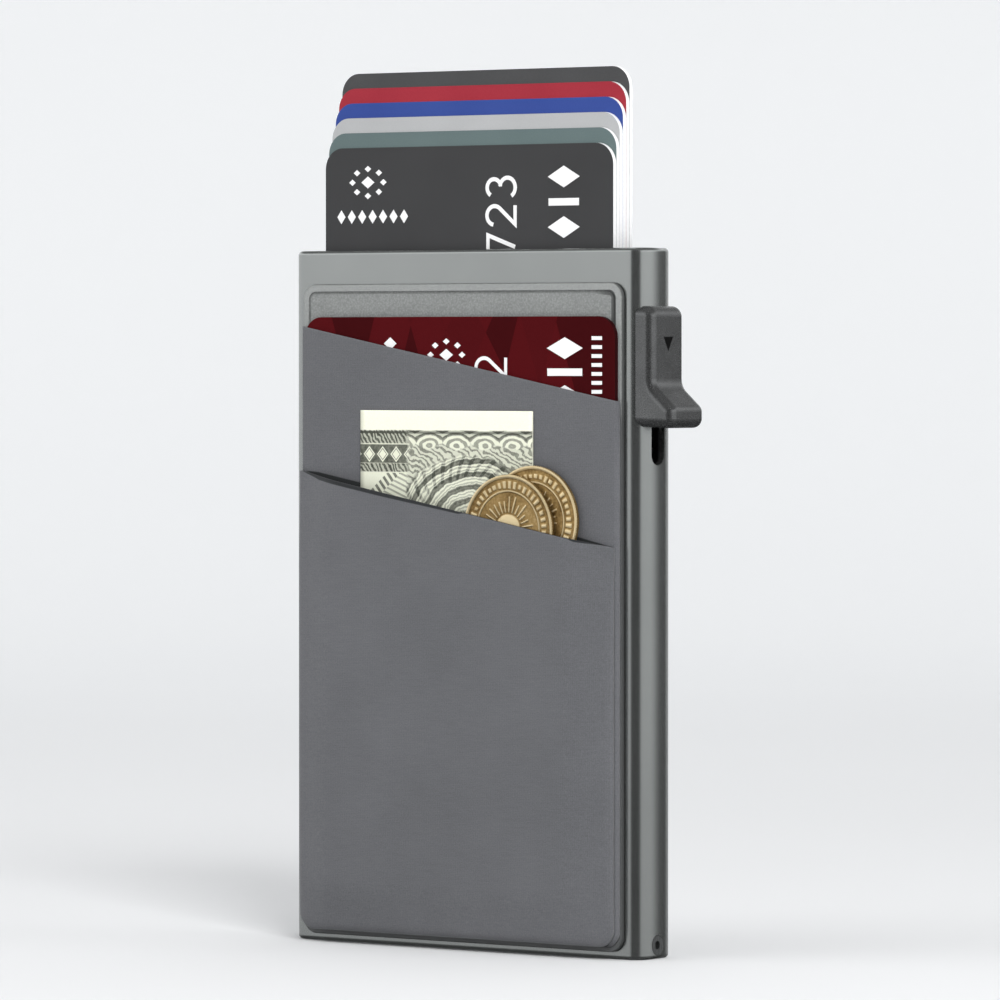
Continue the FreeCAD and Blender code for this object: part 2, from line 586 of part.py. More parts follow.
def frustum(name, y_back, y_front, back, front):
    """A wedge between two upright rectangles (x0, x1, z0, z1) at y_front and y_back."""
    w = doc.addObject("Part::Wedge", name)
    vals = {"Ymin": y_front, "Ymax": y_back, "Xmin": front[0], "Xmax": front[1], "Zmin": front[2], "Zmax": front[3],
            "X2min": back[0], "X2max": back[1], "Z2min": back[2], "Z2max": back[3]}
    for prop, q in vals.items():
        q = Q.of(q)
        setattr(w, prop, q.v)
        w.setExpression(prop, q.e)
    return w


outer = frustum("LowerOuter", up_y1, pock_y, (upx0 + 0.15, upx1 - 0.15, pan_lo + 0.8, 90), (upx0 + 3.2, upx1 - 3.0, pan_lo + 3.4, 90))
inner = frustum("LowerInner", up_y1 + 0.05, pock_y + lycra, (upx0 + 0.65, upx1 - 0.65, pan_lo + 1.3, 95),
                (upx0 + 3.5, upx1 - 3.3, pan_lo + 3.8, 95))
sk = xz_sketch("LowerSlant", [(-31, lo_l + 0.3), (31, lo_r - 0.3), (31, 110), (-31, 110)], -12)
lower_cut = fuse("LowerCuts", inner, extrude("LowerSlantTool", sk, 8))
node(cut("LowerPocket", outer, lower_cut), "lower_pocket_panel")

# ---------------------------------------------------------------- cards, note, coins
for i in range(6):
    b = body("Card%d" % (i + 1))
    sk = sketch_in(b, "CardOutline%d" % (i + 1))
    rrect(sk, card_w, card_l, card_r)
    pad(b, "CardPad%d" % (i + 1), sk, card_t)
    at(b, card_x, card_y + card_p * i + card_t, card_top + card_step * i - card_l / 2, STAND)
    node(b, "card_%d" % (i + 1))
b = body("PocketCard")
sk = sketch_in(b, "PocketCardOutline")
rrect(sk, pcard_w, card_l, card_r)
pad(b, "PocketCardPad", sk, card_t)
at(b, pcard_x, base_y - 0.06, pcard_top - card_l / 2, STAND)
node(b, "pocket_card")
note_y = up_y1 - 0.08
b = body("Banknote")
sk = sketch_in(b, "NoteOutline")
rrect(sk, note_w, note_l, 0.15)
pad(b, "NotePad", sk, note_t)
at(b, note_x, note_y, note_top - note_l / 2, STAND)
node(b, "banknote")
cb_y = note_y - note_t - 0.07
node(cyl("CoinBack", coin_d / 2, coin_t, coinb_x, cb_y - coin_t, coinb_z, "Y"), "coin_back")
cf_y = cb_y - coin_t - 0.06
node(cyl("CoinFront", coin_d / 2, coin_t, coinf_x, cf_y - coin_t, coinf_z, "Y"), "coin_front")

# ---------------------------------------------------------------- check and write
doc.recompute()
for o in doc.Objects:
    if "Invalid" in o.State or "Error" in o.State:
        raise RuntimeError("%s (%s) is %s" % (o.Name, o.Label, o.State))
os.makedirs("parts", exist_ok=True)
for label, o in nodes.items():
    s = o.Shape
    if s.isNull() or not s.isValid() or s.Volume <= 0 or not s.Solids:
        raise RuntimeError("bad shape: " + label)
for label, o in nodes.items():
    s = o.Shape
    s.exportStep("parts/%s.step" % label)
    bb = s.BoundBox
    print("%-20s solids %d vol %9.2f  x %7.2f %7.2f  y %6.2f %6.2f  z %7.2f %7.2f" % (
        label, len(s.Solids), s.Volume, bb.XMin, bb.XMax, bb.YMin, bb.YMax, bb.ZMin, bb.ZMax))
print(len(nodes), "nodes; clearance between coin and pocket front:", round((pock_y + lycra).v - (cf_y - coin_t).v, 3))
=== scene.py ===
import bpy, bmesh, json, math, random
from mathutils import Vector, Matrix, noise


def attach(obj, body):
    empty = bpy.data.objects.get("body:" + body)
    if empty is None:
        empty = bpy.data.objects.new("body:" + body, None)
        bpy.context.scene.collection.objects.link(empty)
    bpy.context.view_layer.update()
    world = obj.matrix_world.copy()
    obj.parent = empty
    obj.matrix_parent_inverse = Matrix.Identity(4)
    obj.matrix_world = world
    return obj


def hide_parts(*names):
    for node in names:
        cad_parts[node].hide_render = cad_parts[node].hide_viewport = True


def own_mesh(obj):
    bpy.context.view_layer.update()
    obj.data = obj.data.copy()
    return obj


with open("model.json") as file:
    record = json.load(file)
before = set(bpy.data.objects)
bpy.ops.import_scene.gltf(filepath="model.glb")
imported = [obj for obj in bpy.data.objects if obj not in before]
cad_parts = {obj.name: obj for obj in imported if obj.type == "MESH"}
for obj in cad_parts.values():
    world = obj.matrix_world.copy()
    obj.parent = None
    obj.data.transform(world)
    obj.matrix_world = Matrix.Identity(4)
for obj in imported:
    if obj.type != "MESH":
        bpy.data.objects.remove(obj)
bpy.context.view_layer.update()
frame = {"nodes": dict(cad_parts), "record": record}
MM = 0.001
scene = bpy.context.scene
scene.view_settings.view_transform = "Standard"
scene.view_settings.look = "None"


# ------------------------------------------------------------------ camera
CASE_FRONT = -4.4 * MM
AZ, EL, DIST, FPX, TX, TZ = math.radians(36.797), math.radians(1.2493), 1016.5678 * MM, 6812.6355, 6.9345 * MM, 67.5462 * MM
cam_data = bpy.data.cameras.new("camera")
cam_data.sensor_width = 36.0
cam_data.lens = FPX * 36.0 / 1000.0
cam_data.clip_start, cam_data.clip_end = 0.05, 20.0
cam = bpy.data.objects.new("camera", cam_data)
scene.collection.objects.link(cam)
back = Vector((math.sin(AZ) * math.cos(EL), -math.cos(AZ) * math.cos(EL), math.sin(EL)))
cam.location = Vector((TX, CASE_FRONT, TZ)) + back * DIST
cam.rotation_euler = (-back).to_track_quat("-Z", "Y").to_euler()
scene.camera = cam


# ------------------------------------------------------------------ node helpers
def mat(name, slot_name=None):
    m = bpy.data.materials.new(name)
    m.use_nodes = True
    nt = m.node_tree
    b = nt.nodes["Principled BSDF"]
    return m, nt, b


def N(nt, kind, **kw):
    n = nt.nodes.new(kind)
    for k, v in kw.items():
        if k.startswith("in_"):
            key = k[3:]
            key = int(key) if key.isdigit() else key.replace("_", " ")
            n.inputs[key].default_value = v
        else:
            setattr(n, k, v)
    return n


def L(nt, a, b):
    nt.links.new(a, b)


def ramp(nt, fac, stops, mode="LINEAR"):
    r = N(nt, "ShaderNodeValToRGB")
    r.color_ramp.interpolation = mode
    el = r.color_ramp.elements
    while len(el) > 1:
        el.remove(el[-1])
    el[0].position, el[0].color = stops[0][0], rgba(stops[0][1])
    for p, c in stops[1:]:
        e = el.new(p)
        e.color = rgba(c)
    L(nt, fac, r.inputs["Fac"])
    return r.outputs["Color"]


def rgba(c):
    if isinstance(c, (int, float)):
        return (c, c, c, 1.0)
    return (*c, 1.0) if len(c) == 3 else tuple(c)


def srgb(r, g, b):
    out = []
    for v in (r, g, b):
        v = v / 255.0
        out.append(v / 12.92 if v <= 0.04045 else ((v + 0.055) / 1.055) ** 2.4)
    return tuple(out)


def math_node(nt, op, a, b=None, c=None, clamp=False):
    n = N(nt, "ShaderNodeMath", operation=op, use_clamp=clamp)
    for i, v in enumerate((a, b, c)):
        if v is None:
            continue
        if isinstance(v, (int, float)):
            n.inputs[i].default_value = v
        else:
            L(nt, v, n.inputs[i])
    return n.outputs[0]


def mix_col(nt, fac, a, b, blend="MIX"):
    n = N(nt, "ShaderNodeMix", data_type="RGBA", blend_type=blend)
    for sock, v in ((n.inputs[0], fac), (n.inputs[6], a), (n.inputs[7], b)):
        if isinstance(v, (int, float)):
            sock.default_value = v if sock == n.inputs[0] else rgba(v)
        elif isinstance(v, tuple):
            sock.default_value = rgba(v)
        else:
            L(nt, v, sock)
    return n.outputs[2]


def coords(nt, scale=(1000, 1000, 1000)):
    """Object coordinates in millimetres."""
    tc = N(nt, "ShaderNodeTexCoord")
    mp = N(nt, "ShaderNodeMapping")
    mp.inputs["Scale"].default_value = scale
    L(nt, tc.outputs["Object"], mp.inputs["Vector"])
    return mp.outputs["Vector"]


def noise_tex(nt, vec, scale, detail=2.0, rough=0.5, dist=0.0):
    n = N(nt, "ShaderNodeTexNoise")
    n.inputs["Scale"].default_value = scale
    n.inputs["Detail"].default_value = detail
    n.inputs["Roughness"].default_value = rough
    n.inputs["Distortion"].default_value = dist
    L(nt, vec, n.inputs["Vector"])
    return n.outputs["Fac"]


def bump(nt, height, strength, distance, normal=None):
    b = N(nt, "ShaderNodeBump")
    b.inputs["Strength"].default_value = strength
    b.inputs["Distance"].default_value = distance
    L(nt, height, b.inputs["Height"])
    if normal is not None:
        L(nt, normal, b.inputs["Normal"])
    return b.outputs["Normal"]


def sep(nt, vec):
    s = N(nt, "ShaderNodeSeparateXYZ")
    L(nt, vec, s.inputs[0])
    return s.outputs


class E:
    """A shader value written as a formula: E + E, E * 2, E.sin() and so on add Math nodes."""

    def __init__(self, nt, sock):
        self.nt, self.sock = nt, sock

    def op(self, kind, *others, clamp=False):
        vals = [self.sock] + [o.sock if isinstance(o, E) else float(o) for o in others]
        return E(self.nt, math_node(self.nt, kind, *vals, clamp=clamp))

    def __add__(self, o): return self.op("ADD", o)
    __radd__ = __add__
    def __sub__(self, o): return self.op("SUBTRACT", o)
    def __rsub__(self, o): return (self * -1.0).op("ADD", o)
    def __mul__(self, o): return self.op("MULTIPLY", o)
    __rmul__ = __mul__
    def __truediv__(self, o): return self.op("DIVIDE", o)
    def sin(self): return self.op("SINE")
    def abs(self): return self.op("ABSOLUTE")
    def frac(self): return self.op("FRACT")
    def floor(self): return self.op("FLOOR")
    def sqrt(self): return self.op("SQRT")
    def pow(self, p): return self.op("POWER", p)
    def gt(self, o): return self.op("GREATER_THAN", o)
    def lt(self, o): return self.op("LESS_THAN", o)
    def min(self, o): return self.op("MINIMUM", o)
    def max(self, o): return self.op("MAXIMUM", o)
    def atan2(self, o): return self.op("ARCTAN2", o)

    def ramp(self, lo, hi):
        """0 below lo, 1 above hi, smooth between."""
        n = N(self.nt, "ShaderNodeMapRange", interpolation_type="SMOOTHSTEP")
        n.inputs["From Min"].default_value = lo
        n.inputs["From Max"].default_value = hi
        L(self.nt, self.sock, n.inputs["Value"])
        return E(self.nt, n.outputs["Result"])


def xyz(nt, v=None):
    s = sep(nt, v if v is not None else coords(nt))
    return E(nt, s[0]), E(nt, s[1]), E(nt, s[2])


# ------------------------------------------------------------------ materials
def m_aluminium():
    m, nt, b = mat("anodised_titanium_grey")
    v = coords(nt)
    fine = noise_tex(nt, v, 9.0, 2.0, 0.6)
    cloud = noise_tex(nt, v, 0.06, 3.0, 0.5)
    f = math_node(nt, "ADD", math_node(nt, "MULTIPLY", fine, 0.35), math_node(nt, "MULTIPLY", cloud, 0.65))
    col = ramp(nt, f, [(0.3, (0.395, 0.41, 0.403)), (0.7, (0.44, 0.455, 0.446))])
    L(nt, col, b.inputs["Base Color"])
    b.inputs["Metallic"].default_value = 0.93
    L(nt, ramp(nt, fine, [(0.25, 0.225), (0.75, 0.245)]), b.inputs["Roughness"])
    x, y, z = xyz(nt, v)
    ay = y.abs()
    flat = ay.min(1.9)
    bend = (ay - 1.9).max(0.0).min(1.67)
    crown = (flat * flat) * (-0.5 / 6.6) - (bend - bend * bend / 3.34) * (1.9 / 6.6)   # height in mm of a slight barrel
    soft = bump(nt, crown.sock, 1.0, 0.001)
    L(nt, bump(nt, noise_tex(nt, v, 2.2, 1.0, 0.5), 0.02, 0.00002, soft), b.inputs["Normal"])
    return m


def m_plastic(name, lo, hi, rough=0.5, grain=12.0, strength=0.3, wear=0.0):
    m, nt, b = mat(name)
    v = coords(nt)
    n1 = noise_tex(nt, v, grain, 2.0, 0.6)
    n2 = noise_tex(nt, v, 0.4, 2.0, 0.5)
    f = math_node(nt, "ADD", math_node(nt, "MULTIPLY", n1, 0.5), math_node(nt, "MULTIPLY", n2, 0.5))
    col = ramp(nt, f, [(0.3, lo), (0.7, hi)])
    if wear:
        g = N(nt, "ShaderNodeNewGeometry")
        e = E(nt, g.outputs["Pointiness"]).ramp(0.53, 0.62) * wear
        col = mix_col(nt, e.sock, col, tuple(c * 2.0 + 0.02 for c in hi))
    L(nt, col, b.inputs["Base Color"])
    L(nt, ramp(nt, n1, [(0.3, rough - 0.05), (0.7, rough + 0.07)]), b.inputs["Roughness"])
    L(nt, bump(nt, n1, strength, 0.00003), b.inputs["Normal"])
    return m


def m_satin(name, lo, hi):
    """Dark satin paint with a metallic sheen and a fine texture."""
    m, nt, b = mat(name)
    v = coords(nt)
    n1 = E(nt, noise_tex(nt, v, 5.5, 3.0, 0.65))
    n2 = E(nt, noise_tex(nt, v, 0.35, 2.0, 0.5))
    col = ramp(nt, (n1 * 0.55 + n2 * 0.45).sock, [(0.3, lo), (0.7, hi)])
    L(nt, col, b.inputs["Base Color"])
    b.inputs["Metallic"].default_value = 0.80
    L(nt, ramp(nt, n1.sock, [(0.3, 0.22), (0.7, 0.32)]), b.inputs["Roughness"])
    L(nt, bump(nt, n1.sock, 0.50, 0.00003), b.inputs["Normal"])
    return m


def m_steel(name, col, rough=0.28, stretch=(1000, 1000, 60)):
    m, nt, b = mat(name)
    v = coords(nt, stretch)
    n1 = noise_tex(nt, v, 6.0, 3.0, 0.6)
    L(nt, ramp(nt, n1, [(0.3, tuple(c * 0.8 for c in col)), (0.7, col)]), b.inputs["Base Color"])
    b.inputs["Metallic"].default_value = 1.0
    L(nt, ramp(nt, n1, [(0.3, rough - 0.06), (0.7, rough + 0.08)]), b.inputs["Roughness"])
    L(nt, bump(nt, n1, 0.15, 0.00001), b.inputs["Normal"])
    return m


def m_leather():
    """Fine sand-grained leatherette with a pressed border. Its colour carries painted light: a painted highlight on the
    border rim, and painted shade in the crease inside it, along the outer edge and beside and below the pockets.
    """
    m, nt, b = mat("embossed_leatherette")
    v = coords(nt)
    wob = N(nt, "ShaderNodeTexNoise")
    wob.inputs["Scale"].default_value = 1.6
    wob.inputs["Detail"].default_value = 2.0
    L(nt, v, wob.inputs["Vector"])
    add = N(nt, "ShaderNodeVectorMath", operation="MULTIPLY_ADD")
    L(nt, wob.outputs["Color"], add.inputs[0])
    add.inputs[1].default_value = (0.5, 0.5, 0.5)
    L(nt, v, add.inputs[2])
    vo = N(nt, "ShaderNodeTexVoronoi", feature="F1")
    vo.inputs["Scale"].default_value = 2.9
    L(nt, add.outputs[0], vo.inputs["Vector"])
    cells = E(nt, vo.outputs["Distance"])
    fine = E(nt, noise_tex(nt, v, 3.6, 4.0, 0.72))
    grain = cells * -0.55 + fine * 0.9
    cloud = E(nt, noise_tex(nt, v, 0.15, 2.0, 0.5))
    f = grain * 0.75 + cloud * 0.22 + 0.12
    field = ramp(nt, f.sock, [(0.20, (0.210, 0.218, 0.213)), (0.60, (0.315, 0.326, 0.318))])
    x, y, z = xyz(nt, v)
    qx = x.abs() - (29.9 - 2.3)
    qz = (z - 50.5).abs() - (49.4 - 2.3)
    d = (qx.max(0.0) * qx.max(0.0) + qz.max(0.0) * qz.max(0.0)).sqrt() + qx.max(qz).min(0.0) - 2.3
    # rim: painted highlight, the border band coloured lighter than the field
    rim = d.ramp(-1.15, -1.0) * (1.0 - d.ramp(-0.32, -0.12))
    # painted shade in the groove inside the border, wider and darker towards the right side
    crease_shade = (d + x.ramp(24.0, 28.0) * 0.35).ramp(-1.66, -1.48) * (1.0 - d.ramp(-1.20, -1.06))
    # edge: painted shade along the panel's outer edge, standing in for its shaded side wall
    edge = d.ramp(-0.16, -0.03)
    rim_highlight_col = ramp(nt, fine.sock, [(0.3, (0.270, 0.279, 0.274)), (0.7, (0.345, 0.356, 0.349))])
    c1 = mix_col(nt, rim.sock, field, rim_highlight_col)
    c2 = mix_col(nt, (crease_shade * (0.14 + x.ramp(24.0, 28.0) * 0.72)).sock, c1, (0.05, 0.052, 0.051))
    low = d.ramp(-1.30, -1.00) * (1.0 - z.ramp(78.0, 84.0))       # painted shade: darker border beside and below the pockets
    c2 = mix_col(nt, (low * 0.78).sock, c2, (0.055, 0.057, 0.060))
    # painted shade along the outer edge
    L(nt, mix_col(nt, (edge * 0.8).sock, c2, (0.05, 0.052, 0.051)), b.inputs["Base Color"])
    L(nt, ramp(nt, fine.sock, [(0.3, 0.46), (0.7, 0.60)]), b.inputs["Roughness"])
    L(nt, bump(nt, grain.sock, 0.45, 0.00008), b.inputs["Normal"])
    b.inputs["Specular IOR Level"].default_value = 0.5
    return m


MOUTH_UP = (-31.0, 93.88, 31.0, 82.15)      # slanted mouth of the upper pocket, X Z to X Z in mm
MOUTH_LO = (-31.0, 72.0, 31.0, 60.55)       # slanted mouth of the lower pocket


def mouth(line, x):
    x0, z0, x1, z1 = line
    return (x - x0) * ((z1 - z0) / (x1 - x0)) + z0


def m_fabric(name, wall_painted_shade=False, mouth_painted_shade=False):
    """Smooth stretch knit. Painted shade: below the lower pocket's mouth the wall behind it is coloured dark for the
    shade inside the pocket, and along the lower pocket's mouth runs a painted shade line.
    """
    m, nt, b = mat(name)
    v = coords(nt)
    x, y, z = xyz(nt, v)
    su = (x * (2 * math.pi / 0.34)).sin()
    sw = (z * (2 * math.pi / 0.26) + su * 0.9).sin()
    knit = su * 0.5 + sw * 0.5
    fine = E(nt, noise_tex(nt, v, 5.0, 4.0, 0.7))
    slub = E(nt, noise_tex(nt, coords(nt, (350, 1000, 2600)), 1.1, 3.0, 0.6))
    cloud = E(nt, noise_tex(nt, v, 0.06, 3.0, 0.55))
    f = knit * 0.04 + fine * 0.62 + slub * 0.12 + cloud * 0.20 + 0.03
    col = ramp(nt, f.sock, [(0.34, (0.091, 0.093, 0.100)), (0.66, (0.156, 0.158, 0.169))])
    if wall_painted_shade:
        # painted shade: the wall below the lower pocket's mouth, its line raised by a lens up to 0.34 mm, is coloured
        # near black for the shade inside the pocket
        edge = mouth(MOUTH_LO, x)
        lens = (((x + 29.3) * 0.30).min((29.4 - x) * 0.13)).max(0.0).min(1.0)
        wall_shade_mask = (edge + lens * 0.34 - z).ramp(-0.10, 0.12) * (x + 29.0).ramp(0.0, 1.5) * (29.3 - x).ramp(0.0, 2.0)
        col = mix_col(nt, wall_shade_mask.sock, col, (0.018, 0.020, 0.021))
    if mouth_painted_shade:
        # painted shade along the mouth for the shaded gap under its edge: widest at the left, thin where the coins
        # press it, tapered at both ends
        edge = mouth(MOUTH_LO, x)
        wide = ((x + 29.2) * 0.22).min(1.0).max(0.0) * (1.0 - x.ramp(-14.0, 4.0) * 0.40)
        coins = x.ramp(2.2, 3.6) * (1.0 - x.ramp(22.0, 23.5))
        wide = wide * (1.0 - coins * 0.80) * (29.2 - x).ramp(0.0, 7.0)
        gape_shade_mask = (z - edge + wide * 0.62).ramp(-0.05, 0.10)
        col = mix_col(nt, gape_shade_mask.sock, col, (0.022, 0.024, 0.026))
    L(nt, col, b.inputs["Base Color"])
    b.inputs["Roughness"].default_value = 0.72
    b.inputs["Specular IOR Level"].default_value = 0.30
    b.inputs["Sheen Weight"].default_value = 0.18
    b.inputs["Sheen Roughness"].default_value = 0.5
    h = knit * 0.5 + fine * 1.2
    L(nt, bump(nt, h.sock, 0.22, 0.00004), b.inputs["Normal"])
    return m


def card_parts(name, rough):
    m, nt, b = mat(name)
    v = coords(nt)
    g = N(nt, "ShaderNodeNewGeometry")
    tf = N(nt, "ShaderNodeVectorTransform", vector_type="NORMAL", convert_from="WORLD", convert_to="OBJECT")
    L(nt, g.outputs["True Normal"], tf.inputs[0])
    onface = E(nt, sep(nt, tf.outputs[0])[1]).abs().gt(0.8)
    n1 = E(nt, noise_tex(nt, v, 5.0, 2.0, 0.5))
    n2 = E(nt, noise_tex(nt, v, 0.08, 2.0, 0.5))
    L(nt, ramp(nt, n1.sock, [(0.3, rough - 0.04), (0.7, rough + 0.05)]), b.inputs["Roughness"])
    L(nt, bump(nt, noise_tex(nt, v, 10.0, 1.0, 0.5), 0.08, 0.00001), b.inputs["Normal"])
    return m, nt, b, v, onface, n1, n2


def m_card(name, face, face2=None, rough=0.42, core=(0.93, 0.93, 0.94)):
    """Printed plastic card: colour on both faces, pale core on the cut edges."""
    m, nt, b, v, onface, n1, n2 = card_parts(name, rough)
    face2 = face2 or tuple(c * 1.12 + 0.003 for c in face)
    col = ramp(nt, (n1 * 0.4 + n2 * 0.6).sock, [(0.3, face), (0.7, face2)])
    edge = ramp(nt, n1.sock, [(0.3, tuple(c * 0.88 for c in core)), (0.7, core)])
    L(nt, mix_col(nt, onface.sock, edge, col), b.inputs["Base Color"])
    b.inputs["Specular IOR Level"].default_value = 0.28
    return m


def m_card_shards(name):
    """Dark red card printed with tall overlapping shards; its core is the same dark red."""
    m, nt, b, v, onface, n1, n2 = card_parts(name, 0.42)
    x, y, z = xyz(nt, v)
    t = None
    for slope, period, phase, width in ((0.34, 21.0, 4.0, 0.30), (-0.30, 27.0, 20.0, 0.27), (0.62, 33.0, 27.0, 0.22), (-0.55, 38.0, 9.0, 0.20)):
        u = ((x + (z - 80.0) * slope + phase) / period).frac()
        s = u.lt(width) * (0.75 + 0.25 * 1.0)
        t = s if t is None else t + s
    base = ramp(nt, (t * 0.25 + n1 * 0.03).sock, [(0.0, (0.046, 0.0022, 0.0034)), (0.24, (0.052, 0.0026, 0.0040)), (0.27, (0.086, 0.0042, 0.0062)), (0.50, (0.092, 0.0046, 0.0068)), (0.55, (0.030, 0.0016, 0.0025)), (1.0, (0.12, 0.006, 0.009))])
    rim = ramp(nt, n1.sock, [(0.3, (0.020, 0.003, 0.004)), (0.7, (0.030, 0.004, 0.005))])
    L(nt, mix_col(nt, onface.sock, rim, base), b.inputs["Base Color"])
    b.inputs["Specular IOR Level"].default_value = 0.04
    return m


def m_print(name="white_print", col=(0.95, 0.95, 0.95)):
    m, nt, b = mat(name)
    v = coords(nt)
    n1 = noise_tex(nt, v, 8.0, 2.0, 0.6)
    L(nt, ramp(nt, n1, [(0.3, tuple(c * 0.94 for c in col)), (0.7, col)]), b.inputs["Base Color"])
    L(nt, ramp(nt, n1, [(0.3, 0.4), (0.7, 0.5)]), b.inputs["Roughness"])
    return m


def m_note():
    """Folded paper note: cream margin, then engraved bands, beads and rosette lines of a made-up pattern."""
    m, nt, b = mat("engraved_note_paper")
    v = coords(nt)
    x, y, z = xyz(nt, v)
    wob = E(nt, noise_tex(nt, v, 0.5, 3.0, 0.55)) - 0.5
    wob2 = E(nt, noise_tex(nt, v, 1.7, 2.0, 0.6)) - 0.5
    fibre = E(nt, noise_tex(nt, v, 6.0, 3.0, 0.6))
    two = 2 * math.pi

    def lines(u, period, bias=0.0):
        return ((u * (two / period)).sin() + bias).ramp(-0.25, 0.45)

    # fields: each is 0 for paper and 1 for full ink
    cx, cz = 2.6, 62.8
    dx, dz = x - cx, z - cz
    r = (dx * dx * 0.80 + dz * dz * 1.25).sqrt() + wob * 1.3
    ang = dz.atan2(dx)
    swirl = r + ang * 1.1
    bold = lines(swirl, 2.15, -0.15) * 0.80
    hair = lines(swirl + wob2 * 0.3, 0.54, 0.0) * 0.42
    spokes = lines(ang + r * 0.05, 0.17, -0.35) * 0.40
    core_ = 1.0 - r.ramp(3.3, 3.9)
    rosette = (bold + hair * (1.0 - bold) + spokes * r.ramp(8.6, 9.6)).min(1.0)
    rosette = rosette * (1.0 - core_) + core_ * (lines(dx + dz * 0.6, 0.5) * 0.25 + 0.70)
    far = r.ramp(12.2, 13.0)
    rosette = rosette * (1.0 - far) + far * (lines(x * 0.5 + z + wob * 3.0, 0.9, -0.1) * 0.55 + 0.20)

    left = 1.0 - (x + 9.0 + wob * 3.0).ramp(0.0, 0.8)          # left third
    band_top = (z - 75.75).ramp(0.0, 0.25) * left              # dark engraved strip under the margin
    tick = lines(x + z * 0.7 + wob * 2.0, 0.75, 0.25)
    beads_u = ((x + 17.2) / 2.55).frac() - 0.5
    beads_v = (z - 74.25) / 2.7
    bead_r = beads_u.abs() * 2.0 + beads_v.abs() * 1.9
    bead = bead_r.ramp(0.80, 0.90) + (bead_r.ramp(0.50, 0.56) - bead_r.ramp(0.64, 0.70)) * 0.8
    in_beads = (z - 72.85).ramp(0.0, 0.15) * (1.0 - (z - 75.65).ramp(0.0, 0.15)) * left
    band_low = (z - 71.5).ramp(0.0, 0.2) * (1.0 - (z - 72.8).ramp(0.0, 0.15)) * left
    diag = x * 0.64 - z * 0.77 + 62.2                            # slanted strip with dots
    strip = (1.0 - (diag.abs() - 0.75).ramp(0.0, 0.15))
    dots = (((x * 0.77 + z * 0.64) / 0.95).frac() - 0.5).abs().ramp(0.20, 0.30)
    below = (1.0 - (z - 71.4).ramp(0.0, 0.1)) * left
    field_low = below * (strip * (dots * 0.85) + (1.0 - strip) * diag.ramp(0.8, 0.9) * lines(z + x * 0.4, 0.8, -0.2) * 0.55)

    ink = rosette * (1.0 - left)
    lobe = (((x + 2.0 + wob * 1.5) / 5.2).frac() - 0.5) * 5.2
    lobe_r = (lobe * lobe * 0.50 + (z - 75.6) * (z - 75.6) * 1.5).sqrt()
    scroll = lines(lobe_r + wob2 * 0.25, 0.95, 0.05) * 0.75 + lobe_r.ramp(1.9, 2.2) * 0.30
    top_band = (z - 74.9 - wob * 1.6 - (lobe * lobe) * 0.12).ramp(0.0, 0.4)
    ink = ink * (1.0 - top_band) + scroll * top_band * (1.0 - left) * 0.85
    ink = ink + band_top * (0.45 + 0.5 * 1.0) * (tick * 0.55 + 0.45) + in_beads * bead * 0.9 + band_low * (tick * 0.5 + 0.45) + field_low
    ink = (ink + wob2 * 0.55 * ink.min(1.0)).max(0.0).min(1.0)
    margin = (z - 77.75 - wob * 0.25).ramp(0.0, 0.22)
    border = (1.0 - (z - 77.55).abs().ramp(0.10, 0.26)) * 0.55
    ink = ((ink + border) * (1.0 - margin)).min(1.0)
    g = N(nt, "ShaderNodeNewGeometry")
    tf = N(nt, "ShaderNodeVectorTransform", vector_type="NORMAL", convert_from="WORLD", convert_to="OBJECT")
    L(nt, g.outputs["True Normal"], tf.inputs[0])
    onface = E(nt, sep(nt, tf.outputs[0])[1]).abs().gt(0.6)
    ink = ink * onface * 0.93
    paper = ramp(nt, fibre.sock, [(0.3, (0.94, 0.94, 0.76)), (0.7, (1.0, 1.0, 0.84))])
    inkc = ramp(nt, (fibre + ink * 0.3).sock, [(0.3, (0.030, 0.037, 0.028)), (0.9, (0.014, 0.018, 0.013))])
    tone = mix_col(nt, (1.0 - margin).sock, paper, mix_col(nt, 0.35, paper, (0.55, 0.59, 0.48)))
    L(nt, mix_col(nt, ink.sock, tone, inkc), b.inputs["Base Color"])
    b.inputs["Roughness"].default_value = 0.75
    b.inputs["Specular IOR Level"].default_value = 0.15
    L(nt, bump(nt, (fibre + ink * 0.6).sock, 0.15, 0.00002), b.inputs["Normal"])
    return m


def m_gold(face_y, k=1.0):
    """Struck gold: darker in the recesses, found from the depth below the coin's rim, and worn bright on top."""
    m, nt, b = mat("struck_gold_%d" % round(-face_y * 100))
    v = coords(nt)
    x, y, z = xyz(nt, v)
    n1 = E(nt, noise_tex(nt, v, 2.2, 3.0, 0.6))
    n2 = E(nt, noise_tex(nt, v, 0.28, 2.0, 0.5))
    depth = (y - face_y).abs()                                 # mm below the rim of the near face
    low = depth.ramp(0.05, 0.17)
    f = n1 * 0.35 + n2 * 0.35 + (1.0 - low) * 0.36
    # k scales the whole colour; above 1 it gives a painted highlight, a lighter copy of the same gold
    L(nt, ramp(nt, f.sock, [(0.24, (0.150 * k, 0.084 * k, 0.022 * k)), (0.42, (0.46 * k, 0.30 * k, 0.115 * k)), (0.64, (0.88 * k, 0.71 * k, 0.42 * k))]), b.inputs["Base Color"])
    b.inputs["Metallic"].default_value = 0.72
    L(nt, ramp(nt, n1.sock, [(0.3, 0.30), (0.7, 0.46)]), b.inputs["Roughness"])
    L(nt, bump(nt, noise_tex(nt, v, 4.0, 3.0, 0.6), 0.25, 0.00003), b.inputs["Normal"])
    return m


